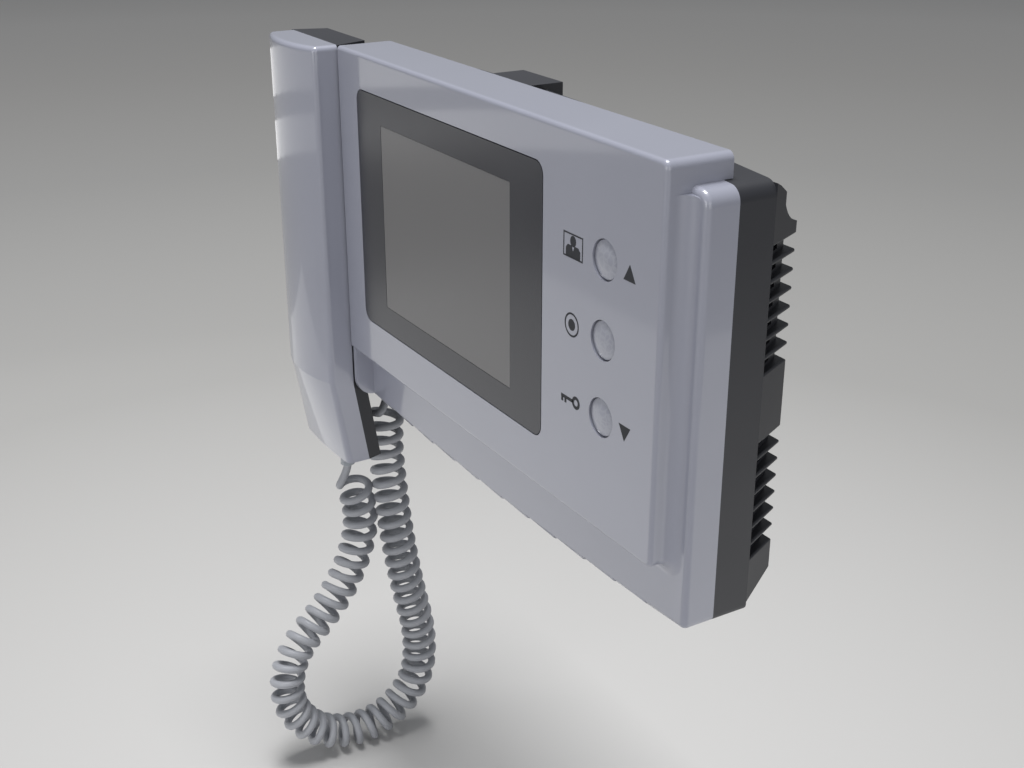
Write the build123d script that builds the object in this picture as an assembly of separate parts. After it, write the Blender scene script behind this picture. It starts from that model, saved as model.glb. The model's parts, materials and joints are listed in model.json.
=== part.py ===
from build123d import *
import os
from math import atan2, cos, pi, radians, sin, sqrt, tan

# A wall-mounted video intercom monitor with a corded handset. Millimetres.
# The origin is the centre of the face that lies on the wall. X runs across, Z runs up and the
# front looks along -Y. A "depth" is a distance in front of the wall: depth d lies at Y = -d.

# ---- Overall outline ----
BODY_HEIGHT = 174.8  # at the middle of the arched top and bottom
CROWN_RADIUS = 2112.0  # of the arched top and bottom edges
TOP_CORNER = 5.5
BOTTOM_CORNER = 2.6
WALL = 2.5  # of every moulded shell

# ---- Depths of the layers, from the wall ----
HUMP_DEPTH = 17.0  # the narrower rear part ends here
JOINT_DEPTH = 32.4  # where the housing meets the cover and the cradle
SLAB_DEPTH = 45.8  # front of the cover's lower step
PANEL_RISE = 10.0  # the raised panel stands this far before the slab

# ---- Raised panel of the cover ----
PANEL_SIDE = 8.6  # from the panel's right edge to the body's
PANEL_TOP = 91.35
PANEL_BOTTOM = -57.15
PANEL_CORNER = 3.0
PANEL_EDGE = 1.8  # rounding of its front edge
PANEL_FOOT = 6.0  # hollow rounding between its side and the slab
SLAB_EDGE = 2.4  # rounding of the lower step's front edge
CAP_OVERHANG = 3.6  # the panel's top reaches this far back over the housing
CAP_GAP = 0.2
CAP_INSET = 0.05  # keeps the cap clear of where the foot's rounding ends
CHEEK_WIDTH = 3.0  # the fin beside the handset's lower end
CHEEK_DROP = 26.0
CHEEK_ROUND = 9.0

# ---- Rear housing ----
SIDE_TAPER = 8.1  # the hump's sides draw in by this much at the wall
HUMP_TOP = 81.0
HUMP_BOTTOM = -78.0
BOTTOM_SLANT = 6.0
SCOOP_RISE = 8.0
SCOOP_DEPTH = 9.7
SCOOP_SAG = 0.62  # share of its depth and of its rise at the hollow's middle
LEDGE_HEIGHT = 4.5
TOP_SLOPE = 3.3
TOP_CHAMFER = 2.6
LOUVRE_PITCH = 6.85
LOUVRE_GAP = 5.15
LOUVRE_DEEP = 2.8
LOUVRE_LIP = 0.8  # rounding of the slats' outer edges
LOUVRE_REACH = 34.0  # how far the grooves run in from the hump's side
LOUVRE_SLIT = 2.6  # the opening along each groove's floor
SLIT_MARGIN = 1.0  # from its ends to the housing's floor and flange
LOUVRE_COUNT = 7
UPPER_LOUVRES_TOP = 59.3
LOWER_LOUVRES_TOP = -13.5
CATCH_WIDTH = 31.0
CATCH_REAR = 9.0
CATCH_RISE = 2.3
RECESS_WIDTH = 126.0
RECESS_HEIGHT = 92.0
RECESS_DEPTH = 5.0
CABLE_WINDOW = (52.0, 30.0)
POCKET_WIDTH = 26.0  # hollows beside the wall recess

# ---- Wall bracket ----
BRACKET_PLATE = 1.5
BRACKET_MARGIN = 1.5  # between the plate and its recess, all round
WALL_HOLE_SPACING = (84.0, 60.0)
WALL_HOLE_RADIUS = 2.25
HOOK_SPACING = (104.0, 50.0)
HOOK_WIDTH = 10.0
HOOK_RISE = 6.0
HOOK_GAP = 0.1

# ---- Screen ----
SCREEN_HEIGHT = 20.0  # of the screen's centre
SCREEN_MARGIN = 19.2  # from the panel's left edge to the bezel
BEZEL_SIZE = (159.0, 110.0)
BEZEL_CORNER = 5.0
BEZEL_GAP = 0.45
BEZEL_THICK = 2.5
BEZEL_LIP = 0.8
SCREEN_BORDER = (23.5, 12.4)  # of the bezel, at the screen's sides and at its top and bottom
VIEW_SIZE = (BEZEL_SIZE[0] - 2 * SCREEN_BORDER[0], BEZEL_SIZE[1] - 2 * SCREEN_BORDER[1])
LENS_LAP = 3.0
LENS_GAP = 0.15
LENS_SINK = 0.1  # how far the lens's raised middle lies below the bezel's face
SEAT_LAP = 4.5  # of the ledge that the bezel is glued to
SEAT_THICK = 2.0
GASKET = 0.5
LCD_GLASS = 2.4
LCD_MARGIN = 2.0
LCD_FRAME_WALL = 1.2
LCD_FRAME_DEPTH = 8.0
LCD_GAP = 0.15

# ---- Buttons ----
BUTTON_NAMES = ("monitor", "talk", "unlock")  # from the top down
BUTTON_CLEAR = 40.9  # from the bezel to the buttons' middle line
BUTTON_MARGIN = 33.3  # from there to the panel's right edge
BUTTON_TOP_Z = 49.5
BUTTON_PITCH = 29.9
BUTTON_DIAMETER = 14.2
BUTTON_GAP = 0.5
BUTTON_DOME = 26.0  # radius of its domed face
BUTTON_PROUD = 0.2
BUTTON_FLANGE = 1.6  # the rim that keeps it behind the panel
BUTTON_RIM = 1.5
BUTTON_TRAVEL = 1.0
STEM_DIAMETER = 3.5
STEM_GAP = 0.05
SWITCH_SIZE = 6.2
SWITCH_HEIGHT = 4.0
KEYPAD_DEPTH = 42.0  # front of the keypad board
KEYPAD_WIDTH = 20.0

# ---- Boards and fastenings ----
BOARD_THICK = 1.6
BOARD_DEPTH = 26.0  # front of the main board
BOARD_HEIGHT = 112.0
BOARD_MARGIN = 64.0  # from the board's edges to the body's, on average
BOARD_CENTRE = (4.0, 0.0)
POST_DIAMETER = 7.0
SCREW_DIAMETER = 3.0
SCREW_HEAD = 5.6
SCREW_HEAD_HEIGHT = 2.0
SCREW_LENGTH = 8.0
SCREW_GAP = 0.2
SCREW_HOLE = 3.1
TERMINAL_SIZE = (32.0, 11.0, 9.0)
TERMINAL_COUNT = 4
SPEAKER_DIAMETER = 40.0
SPEAKER_DEPTH = 12.0
SPEAKER_INSET = 37.0  # of its centre from the body's right edge
SPEAKER_HEIGHT = -42.0
SPEAKER_RIM = 2.4
SPEAKER_GAP = 0.2

# ---- Cradle ----
CRADLE_RISE = 6.0
PAD_HEIGHT = 22.0
PAD_WIDTH = 36.0
PAD_TOP = -55.0
POCKET_DEPTH = 3.5
POCKET_GAP = 0.3
REST_GAP = 0.3  # between the handset and what it rests on
PLUNGER_DIAMETER = 8.0
PLUNGER_GAP = 0.08
PLUNGER_TRAVEL = 3.0
SWITCH_FOOT = 8.0
HOOK_SWITCH_DEPTH = 26.0
HOOK_SWITCH_SIZE = (10.0, 6.0, 6.0)

# ---- Handset ----
HANDSET_WIDTH = 54.0
HANDSET_GAP = 1.2
HANDSET_OVERHANG = 0.2  # beyond the body's left edge
HANDSET_TOP = 91.35
HANDSET_BOTTOM = -121.7
HANDSET_PARTING = 55.2
HANDSET_CROWN = 72.5
HANDSET_CREST = 5.5  # the crown's middle stands this far above its edges
HANDSET_CORNER = 2.6
CHIN_BLEND_TOP = -8.0
CHIN_TOP = -75.5
CHIN_FALL = 11.3
CHIN_CREST = 1.2
CHIN_CORNER = 3.5
BEND_TOP = -77.9
BEND_FALL = 7.0
BACK_THICK = 7.7
BACK_DRAFT = 0.35  # how far the back draws in per millimetre of depth
HEAD_THICK = 16.5
HEAD_BOTTOM = 46.0
HEAD_SLOPE = 14.0
HANDSET_TOP_ROUND = 2.4
EARPIECE_DIAMETER = 34.0
EARPIECE_HEIGHT = 64.0
EARPIECE_STAND = 2.2
EARPIECE_DEEP = 8.0
HANDSET_WALL = 2.0
GRILLE_HOLE = 2.2
MICROPHONE_HEIGHT = -97.0
MICROPHONE_SIZE = (9.7, 5.0)
WEIGHT_SIZE = (26.0, 4.0, 70.0)

# ---- Curly cord ----
COIL_DIAMETER = 19.6
CORD_DIAMETER = 4.3
PLUG_SIZE = (7.6, 6.2, 13.0)
PLUG_GAP = 0.05
PLUG_SHOWN = 1.5
JACK_WALL = 1.8
JACK_HEIGHT = 15.0
JACK_GAP = 0.1
BOOT_WALL = 1.2  # of the boot where it meets its plug
BOOT_MOUTH = 7.6  # its diameter where the cord leaves it
BOOT_LENGTH = 12.0
BASE_JACK_SHIFT = 1.2  # to the right of the handset's middle line
BASE_JACK_DEPTH = 24.7
HANDSET_JACK_DEPTH = 49.0
ARC_SHARE = 0.45

# ---- Worked out from the sizes above ----
BAY_WIDTH = HANDSET_WIDTH + HANDSET_GAP - HANDSET_OVERHANG
PANEL_WIDTH = SCREEN_MARGIN + BEZEL_SIZE[0] + BUTTON_CLEAR + BUTTON_MARGIN
BODY_WIDTH = BAY_WIDTH + PANEL_WIDTH + PANEL_SIDE
LEFT = -BODY_WIDTH / 2
RIGHT = BODY_WIDTH / 2
COVER_LEFT = LEFT + BAY_WIDTH
PANEL_RIGHT = RIGHT - PANEL_SIDE
BUTTON_X = PANEL_RIGHT - BUTTON_MARGIN
SCREEN_CENTRE = (COVER_LEFT + SCREEN_MARGIN + BEZEL_SIZE[0] / 2, SCREEN_HEIGHT)
SPEAKER_CENTRE = (RIGHT - SPEAKER_INSET, SPEAKER_HEIGHT)
BOARD_SIZE = (BODY_WIDTH - 2 * BOARD_MARGIN, BOARD_HEIGHT)
PANEL_DEPTH = SLAB_DEPTH + PANEL_RISE
PANEL_INNER = PANEL_DEPTH - WALL
FLOOR_DEPTH = RECESS_DEPTH + WALL
HANDSET_X = COVER_LEFT - HANDSET_GAP - HANDSET_WIDTH / 2
BASE_JACK_X = HANDSET_X + BASE_JACK_SHIFT
CRADLE_DEPTH = JOINT_DEPTH + CRADLE_RISE
BACK_REAR = HANDSET_PARTING - BACK_THICK
PAD_DEPTH = BACK_REAR - REST_GAP
SCREEN_SEAT = PANEL_DEPTH - BEZEL_THICK


# ---- Helpers ----
def layer(sketch, back, front):
    """A flat solid between two depths, from a sketch drawn in X and Z."""
    return extrude(Plane.XZ.offset(back) * sketch, front - back)


def block(x, depth, z):
    """A box from its two limits along X, along the depth and along Z."""
    size = (x[1] - x[0], depth[1] - depth[0], z[1] - z[0])
    centre = ((x[0] + x[1]) / 2, -(depth[0] + depth[1]) / 2, (z[0] + z[1]) / 2)
    return Pos(*centre) * Box(*size)


def rod(x, z, diameter, back, front):
    """A cylinder square to the wall."""
    return layer(Pos(x, z) * Circle(diameter / 2), back, front)


def plate(centre, size, back, front, corner=0.0):
    """A rectangular plate parallel to the wall, with rounded corners if asked."""
    outline = RectangleRounded(*size, corner) if corner else Rectangle(*size)
    return layer(Pos(*centre) * outline, back, front)


def ribbon(points, x0, x1):
    """A prism along X from an outline given as (depth, height) points."""
    outline = Polyline([(x0, -d, z) for d, z in points], close=True)
    return extrude(make_face(outline), x1 - x0, dir=(1, 0, 0))


def corners_of(centre, spacing):
    """The four corners of a rectangle."""
    return [
        (centre[0] + sx * spacing[0] / 2, centre[1] + sz * spacing[1] / 2)
        for sx in (-1, 1)
        for sz in (-1, 1)
    ]


def arch(x, inset=0.0):
    """Height of the arched top edge at x."""
    radius = CROWN_RADIUS - inset
    return BODY_HEIGHT / 2 - CROWN_RADIUS + sqrt(radius**2 - x**2)


def body_outline(inset=0.0):
    """The arched outline of the whole body, drawn in from its edge by inset."""
    half = BODY_WIDTH / 2 - inset
    side, middle = arch(half, inset), arch(0.0, inset)
    edges = [
        ThreePointArc((-half, side), (0, middle), (half, side)),
        Line((half, side), (half, -side)),
        ThreePointArc((half, -side), (0, -middle), (-half, -side)),
        Line((-half, -side), (-half, side)),
    ]
    face = make_face(edges)
    low = face.vertices().sort_by(Axis.Y)[:2]
    face = fillet(low, max(BOTTOM_CORNER - inset, 0.5))
    high = face.vertices().sort_by(Axis.Y)[-2:]
    return fillet(high, max(TOP_CORNER - inset, 0.5))


def right_of(sketch, x):
    """The part of a sketch to the right of x."""
    return sketch & Pos(x + BODY_WIDTH, 0) * Rectangle(2 * BODY_WIDTH, 2 * BODY_HEIGHT)


def left_of(sketch, x):
    """The part of a sketch to the left of x."""
    return sketch & Pos(x - BODY_WIDTH, 0) * Rectangle(2 * BODY_WIDTH, 2 * BODY_HEIGHT)


def screw(x, z, seat, length, towards_front=True):
    """A pan-head screw whose head seats at a depth, with its shank towards the front."""
    way = 1 if towards_front else -1
    head = [seat - way * SCREW_HEAD_HEIGHT, seat]
    shank = [seat, seat + way * length]
    head = rod(x, z, SCREW_HEAD, min(head), max(head))
    slot_depth = SCREW_HEAD_HEIGHT / 2
    outer = seat - way * SCREW_HEAD_HEIGHT
    slot = sorted([outer, outer + way * slot_depth])
    for turn in (0, 90):
        head -= layer(Pos(x, z) * Rot(0, 0, turn) * Rectangle(SCREW_HEAD * 0.6, 0.8), *slot)
    return head + rod(x, z, SCREW_DIAMETER, min(shank), max(shank))


# ---- Rear housing and wall bracket ----
def hump():
    """The rear part that narrows towards the wall."""
    top = HUMP_TOP
    shelf = top - TOP_CHAMFER / 2 - TOP_SLOPE
    scoop_top = shelf - LEDGE_HEIGHT
    scoop_low = scoop_top - SCOOP_RISE
    low = HUMP_BOTTOM
    sag = (SCOOP_DEPTH * SCOOP_SAG, scoop_top - SCOOP_RISE * SCOOP_SAG)
    outline = [
        Line((HUMP_DEPTH, low), (HUMP_DEPTH, top)),
        Line((HUMP_DEPTH, top), (HUMP_DEPTH - TOP_CHAMFER, top - TOP_CHAMFER / 2)),
        Line((HUMP_DEPTH - TOP_CHAMFER, top - TOP_CHAMFER / 2), (SCOOP_DEPTH, shelf)),
        Line((SCOOP_DEPTH, shelf), (SCOOP_DEPTH, scoop_top)),
        ThreePointArc((SCOOP_DEPTH, scoop_top), sag, (0, scoop_low)),
        Line((0, scoop_low), (0, low + BOTTOM_SLANT)),
        Line((0, low + BOTTOM_SLANT), (HUMP_DEPTH, low)),
    ]
    across = Plane(origin=(LEFT, 0, 0), x_dir=(0, -1, 0), z_dir=(-1, 0, 0))
    side_view = extrude(across * make_face(outline), -BODY_WIDTH)
    slim = RIGHT - SIDE_TAPER
    plan = make_face(
        Polyline([(LEFT, -HUMP_DEPTH), (-slim, 0), (slim, 0), (RIGHT, -HUMP_DEPTH)], close=True)
    )
    tall = Pos(0, 0, -BODY_HEIGHT) * extrude(plan, 2 * BODY_HEIGHT)
    return side_view & tall


def louvre_heights():
    """The middle height of every groove, in two groups."""
    tops = (UPPER_LOUVRES_TOP, LOWER_LOUVRES_TOP)
    return [
        top - LOUVRE_GAP / 2 - n * LOUVRE_PITCH for top in tops for n in range(LOUVRE_COUNT)
    ]


def groove_core():
    """What stays solid behind the grooves: their floor lies on its surface."""
    rear_half = BODY_WIDTH / 2 - SIDE_TAPER - LOUVRE_DEEP
    front_half = BODY_WIDTH / 2 - LOUVRE_DEEP
    plan = Polyline(
        [
            (-front_half, -HUMP_DEPTH),
            (-rear_half, -LOUVRE_DEEP),
            (rear_half, -LOUVRE_DEEP),
            (front_half, -HUMP_DEPTH),
        ],
        close=True,
    )
    return Pos(0, 0, -BODY_HEIGHT) * extrude(make_face(plan), 2 * BODY_HEIGHT)


def louvres():
    """The horizontal grooves round both rear side edges, as one cutter."""
    core = groove_core()
    cutters = []
    for z in louvre_heights():
        span = (z - LOUVRE_GAP / 2, z + LOUVRE_GAP / 2)
        for near, far in ((LEFT - 1, LEFT + LOUVRE_REACH), (RIGHT - LOUVRE_REACH, RIGHT + 1)):
            cutters.append(block((near, far), (-1, HUMP_DEPTH), span) - core)
    return cutters


def slat_edges(form):
    """The outer edges of the slats, at the rear face and at the tapered sides."""
    lips = []
    for edge in form.edges():
        spot = edge.center()
        side = RIGHT - SIDE_TAPER * (1 + spot.Y / HUMP_DEPTH)
        at_rear = edge.bounding_box().min.Y > -0.01
        at_side = abs(abs(spot.X) - side) < 0.05 and edge.bounding_box().size.Y > LOUVRE_DEEP
        at_lip = min(abs(abs(spot.Z - z) - LOUVRE_GAP / 2) for z in louvre_heights()) < 0.01
        if at_lip and (at_rear or at_side):
            lips.append(edge)
    return lips


def slits():
    """The through openings in the groove floors, which let warm air and sound out."""
    cutters = []
    for z in louvre_heights():
        span = (z - LOUVRE_SLIT / 2, z + LOUVRE_SLIT / 2)
        for near, far in ((LEFT, LEFT + LOUVRE_REACH), (RIGHT - LOUVRE_REACH, RIGHT)):
            depths = (FLOOR_DEPTH + SLIT_MARGIN, HUMP_DEPTH - SLIT_MARGIN)
            cutters.append(block((near, far), depths, span))
    return cutters


def hook_places():
    return corners_of((0.0, 0.0), HOOK_SPACING)


def housing_screw_places():
    """Where the housing is screwed to the cover and to the cradle."""
    inset = 4 * WALL
    high = arch(RIGHT - inset) - inset - POST_DIAMETER
    return [
        (COVER_LEFT + inset, high),
        (COVER_LEFT + inset, -high),
        (PANEL_RIGHT - inset, high),
        (PANEL_RIGHT - inset, -high),
    ]


def board_post_places():
    inset = POST_DIAMETER
    return corners_of(BOARD_CENTRE, (BOARD_SIZE[0] - inset, BOARD_SIZE[1] - inset))


def cradle_screw_places():
    x = HANDSET_X - HANDSET_WIDTH / 4
    return [(x, HEAD_BOTTOM - 2 * POST_DIAMETER), (x, PAD_TOP + 2 * POST_DIAMETER)]


def jack_block(x, depth, mouth, up, gap=0.0):
    """The outside of a cord jack whose mouth faces down at height mouth."""
    half_x = PLUG_SIZE[0] / 2 + JACK_WALL + gap
    half_d = PLUG_SIZE[1] / 2 + JACK_WALL + gap
    return block((x - half_x, x + half_x), (depth - half_d, depth + half_d), (mouth, mouth + up))


def base_mouth():
    """Height of the underside of the body at the cord's jack."""
    return -arch(BASE_JACK_X)


def make_rear_housing():
    """The charcoal rear moulding: flange, narrower hump, louvred sides and the wall recess."""
    joint = JOINT_DEPTH
    outer = layer(body_outline(), HUMP_DEPTH, joint) + hump()
    catch = (-CATCH_WIDTH / 2, CATCH_WIDTH / 2)
    catch_front = joint - CAP_OVERHANG - CAP_GAP
    outer += block(catch, (CATCH_REAR, catch_front), (HUMP_TOP / 2, arch(0) + CATCH_RISE))
    for cutter in louvres():
        outer -= cutter
    outer = fillet(slat_edges(outer), LOUVRE_LIP)
    # The hollow is wide in the flange and narrower behind the grooves.
    half = BODY_WIDTH / 2 - SIDE_TAPER - LOUVRE_DEEP - WALL
    low = HUMP_BOTTOM + BOTTOM_SLANT + WALL
    high = HUMP_TOP - TOP_CHAMFER / 2 - TOP_SLOPE - LEDGE_HEIGHT - SCOOP_RISE
    shell = outer - layer(body_outline(WALL), HUMP_DEPTH + WALL, joint)
    shell -= block((-half, half), (FLOOR_DEPTH, joint), (low, high))
    near = RECESS_WIDTH / 2 + WALL
    for side in ((-near - POCKET_WIDTH, -near), (near, near + POCKET_WIDTH)):
        shell -= block(side, (WALL, joint), (low, high))
    shell -= plate((0, 0), (RECESS_WIDTH, RECESS_HEIGHT), 0, RECESS_DEPTH, WALL)
    for cutter in slits():
        shell -= cutter
    for x, z in board_post_places():
        shell += rod(x, z, POST_DIAMETER, WALL, BOARD_DEPTH - BOARD_THICK)
        shell -= rod(x, z, SCREW_HOLE, BOARD_DEPTH - SCREW_LENGTH - 2 * WALL, joint)
    for x, z in cradle_screw_places():
        shell += rod(x, z, POST_DIAMETER, FLOOR_DEPTH, joint)
        shell -= rod(x, z, SCREW_HOLE, joint - SCREW_LENGTH, joint)
    for x, z in housing_screw_places():
        shell += rod(x, z, SCREW_HEAD + 2 * WALL, FLOOR_DEPTH, joint)
        shell -= rod(x, z, SCREW_HEAD + 2 * SCREW_GAP, 0, housing_screw_seat())
        shell -= rod(x, z, SCREW_DIAMETER + 2 * SCREW_GAP, 0, joint)
    ring = SPEAKER_DIAMETER + 2 * SPEAKER_GAP
    ring_top = FLOOR_DEPTH + SPEAKER_DEPTH / 3
    shell += rod(*SPEAKER_CENTRE, ring + 2 * SPEAKER_RIM, FLOOR_DEPTH, ring_top)
    shell -= rod(*SPEAKER_CENTRE, ring, FLOOR_DEPTH, ring_top)
    shell -= plate((0, 0), CABLE_WINDOW, 0, joint, WALL)
    for x, z in hook_places():
        span = (z - HOOK_RISE - HOOK_GAP, z + BRACKET_PLATE)
        shell -= block((x - HOOK_WIDTH / 2 - 0.5, x + HOOK_WIDTH / 2 + 0.5), (0, joint / 2), span)
    pedestal = (HANDSET_X - SWITCH_FOOT / 2, HANDSET_X + SWITCH_FOOT / 2)
    rise = (plunger_height() - SWITCH_FOOT / 2, plunger_height() + SWITCH_FOOT / 2)
    shell += block(pedestal, (FLOOR_DEPTH, HOOK_SWITCH_DEPTH), rise)
    low = base_mouth() - WALL
    shell -= jack_block(BASE_JACK_X, BASE_JACK_DEPTH, low, JACK_HEIGHT + 2 * WALL, JACK_GAP)
    return shell


def make_wall_bracket():
    """A steel plate with four screw holes, a cable window and four hooks bent out of it."""
    size = (RECESS_WIDTH - 2 * BRACKET_MARGIN, RECESS_HEIGHT - 2 * BRACKET_MARGIN)
    body = plate((0, 0), size, 0, BRACKET_PLATE, 2 * BRACKET_MARGIN)
    body -= plate((0, 0), CABLE_WINDOW, 0, BRACKET_PLATE, WALL)
    for x, z in corners_of((0, 0), WALL_HOLE_SPACING):
        body -= rod(x, z, 2 * WALL_HOLE_RADIUS, 0, BRACKET_PLATE)
    lip = FLOOR_DEPTH + HOOK_GAP
    for x, z in hook_places():
        across = (x - HOOK_WIDTH / 2, x + HOOK_WIDTH / 2)
        body += block(across, (0, lip + BRACKET_PLATE), (z, z + BRACKET_PLATE))
        body += block(across, (lip, lip + BRACKET_PLATE), (z, z + HOOK_RISE))
    return body


# ---- Cover and screen ----
def cheek():
    """The fin beside the handset's lower end, with its outer corner rounded."""
    top, low = PANEL_BOTTOM + PANEL_FOOT, PANEL_BOTTOM - CHEEK_DROP
    foot = SLAB_DEPTH - WALL
    corner = low + CHEEK_ROUND
    middle = CHEEK_ROUND * (1 - sqrt(0.5))
    outline = [
        Line((foot, top), (PANEL_DEPTH - PANEL_EDGE / 2, top)),
        Line((PANEL_DEPTH - PANEL_EDGE / 2, top), (PANEL_DEPTH - PANEL_EDGE / 2, corner)),
        ThreePointArc(
            (PANEL_DEPTH - PANEL_EDGE / 2, corner),
            (PANEL_DEPTH - PANEL_EDGE / 2 - middle, low + middle),
            (PANEL_DEPTH - PANEL_EDGE / 2 - CHEEK_ROUND, low),
        ),
        Line((PANEL_DEPTH - PANEL_EDGE / 2 - CHEEK_ROUND, low), (foot, low)),
        Line((foot, low), (foot, top)),
    ]
    side = Plane(origin=(COVER_LEFT, 0, 0), x_dir=(0, -1, 0), z_dir=(-1, 0, 0))
    return extrude(side * make_face(outline), -CHEEK_WIDTH)


def panel_outline(right=PANEL_RIGHT, top=PANEL_TOP):
    """The raised panel's outline, square at the handset's side."""
    centre = ((COVER_LEFT + right) / 2, (top + PANEL_BOTTOM) / 2)
    square = Pos(*centre) * Rectangle(right - COVER_LEFT, top - PANEL_BOTTOM)
    return fillet([v for v in square.vertices() if v.X > centre[0]], PANEL_CORNER)


def cap_outline():
    """The outline of the panel's rear part, a hair inside the panel's own."""
    return panel_outline(PANEL_RIGHT - CAP_INSET, PANEL_TOP - CAP_INSET)


def raised_panel():
    """The panel with the hollow rounding at its foot, trimmed to the slab that carries it."""
    ground = SLAB_DEPTH - WALL
    wide = Pos(COVER_LEFT + BODY_WIDTH, 0) * Rectangle(2 * BODY_WIDTH, 2 * BODY_HEIGHT)
    tall = panel_outline(top=PANEL_TOP + BODY_HEIGHT / 4)
    form = layer(wide, ground, SLAB_DEPTH) + layer(tall, SLAB_DEPTH, PANEL_DEPTH)
    foot = []
    for edge in form.edges():
        spot = edge.center()
        on_slab = abs(spot.Y + SLAB_DEPTH) < 0.01
        across = COVER_LEFT + 1 < spot.X < PANEL_RIGHT + 0.1
        if on_slab and across and PANEL_BOTTOM - 0.1 < spot.Z < PANEL_TOP:
            foot.append(edge)
    form = fillet(foot, PANEL_FOOT)
    brow = SLAB_DEPTH + PANEL_FOOT + CAP_GAP
    room = layer(right_of(body_outline(SLAB_EDGE), COVER_LEFT), ground, PANEL_DEPTH)
    room += layer(cap_outline(), ground, brow)
    room += layer(panel_outline(), brow, PANEL_DEPTH)
    form = form & room
    rim = [e for e in form.edges().group_by(Axis.Y)[0] if e.center().X > COVER_LEFT + 1]
    return fillet(rim, PANEL_EDGE)


def cover_form():
    """The outside of the front cover: an arched slab, the raised panel and the panel's cap."""
    slab = layer(right_of(body_outline(), COVER_LEFT), JOINT_DEPTH, SLAB_DEPTH)
    front = slab.edges().group_by(Axis.Y)[0]
    slab = fillet([e for e in front if e.center().X > COVER_LEFT + 1], SLAB_EDGE)
    cap = layer(cap_outline(), JOINT_DEPTH - CAP_OVERHANG, SLAB_DEPTH)
    cap -= layer(body_outline(-CAP_GAP), 0, JOINT_DEPTH)
    return slab + cap + raised_panel() + cheek()


def lcd_size():
    """Width and height of the display's metal frame."""
    grow = 2 * (LCD_MARGIN + LCD_GAP + LCD_FRAME_WALL)
    return (VIEW_SIZE[0] + grow, VIEW_SIZE[1] + grow)


def lcd_screw_places():
    spacing = (BEZEL_SIZE[0] + SCREW_HEAD + 2 * BEZEL_GAP, VIEW_SIZE[1] * 0.7)
    return corners_of(SCREEN_CENTRE, spacing)


def button_heights():
    return [BUTTON_TOP_Z - n * BUTTON_PITCH for n in range(len(BUTTON_NAMES))]


def keypad_post_places():
    reach = BUTTON_PITCH + BUTTON_DIAMETER / 2 + BUTTON_FLANGE + POST_DIAMETER / 2 + 1
    middle = BUTTON_TOP_Z - BUTTON_PITCH
    return [(BUTTON_X, middle + reach), (BUTTON_X, middle - reach)]


def make_front_cover():
    """The pale glossy cover, hollow behind, with the screen's seat and the button holes."""
    cover = cover_form()
    left = COVER_LEFT + WALL
    cover -= layer(right_of(body_outline(WALL), left), JOINT_DEPTH, SLAB_DEPTH - WALL)
    centre = ((COVER_LEFT + PANEL_RIGHT) / 2, (PANEL_TOP + PANEL_BOTTOM) / 2)
    size = (
        PANEL_RIGHT - COVER_LEFT - 2 * WALL,
        PANEL_TOP - PANEL_BOTTOM - 2 * WALL,
    )
    cover -= plate(centre, size, JOINT_DEPTH, PANEL_INNER)
    seat = (BEZEL_SIZE[0] + 4 * SCREW_HEAD, BEZEL_SIZE[1] + 2 * SEAT_LAP)
    cover += plate(SCREEN_CENTRE, seat, SCREEN_SEAT - SEAT_THICK, SCREEN_SEAT)
    inner = (BEZEL_SIZE[0] - 2 * SEAT_LAP, BEZEL_SIZE[1] - 2 * SEAT_LAP)
    cover -= plate(SCREEN_CENTRE, inner, SCREEN_SEAT - SEAT_THICK, PANEL_DEPTH, WALL)
    opening = (BEZEL_SIZE[0] + 2 * BEZEL_GAP, BEZEL_SIZE[1] + 2 * BEZEL_GAP)
    cover -= plate(SCREEN_CENTRE, opening, SCREEN_SEAT, PANEL_DEPTH, BEZEL_CORNER + BEZEL_GAP)
    for z in button_heights():
        cover -= rod(BUTTON_X, z, BUTTON_DIAMETER + 2 * BUTTON_GAP, PANEL_INNER, PANEL_DEPTH)
    for x, z in lcd_screw_places():
        cover -= rod(x, z, SCREW_HOLE, SCREEN_SEAT - SEAT_THICK, SCREEN_SEAT + WALL / 2)
    for x, z in keypad_post_places():
        cover += rod(x, z, POST_DIAMETER, KEYPAD_DEPTH, PANEL_INNER)
        cover -= rod(x, z, SCREW_HOLE, KEYPAD_DEPTH, KEYPAD_DEPTH + SCREW_LENGTH)
    for x, z in housing_screw_places():
        wall = PANEL_INNER if z > PANEL_BOTTOM else SLAB_DEPTH - WALL
        cover += rod(x, z, POST_DIAMETER, JOINT_DEPTH, wall + WALL / 2)
        cover -= rod(x, z, SCREW_HOLE, JOINT_DEPTH, JOINT_DEPTH + SCREW_LENGTH)
    return cover


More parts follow.
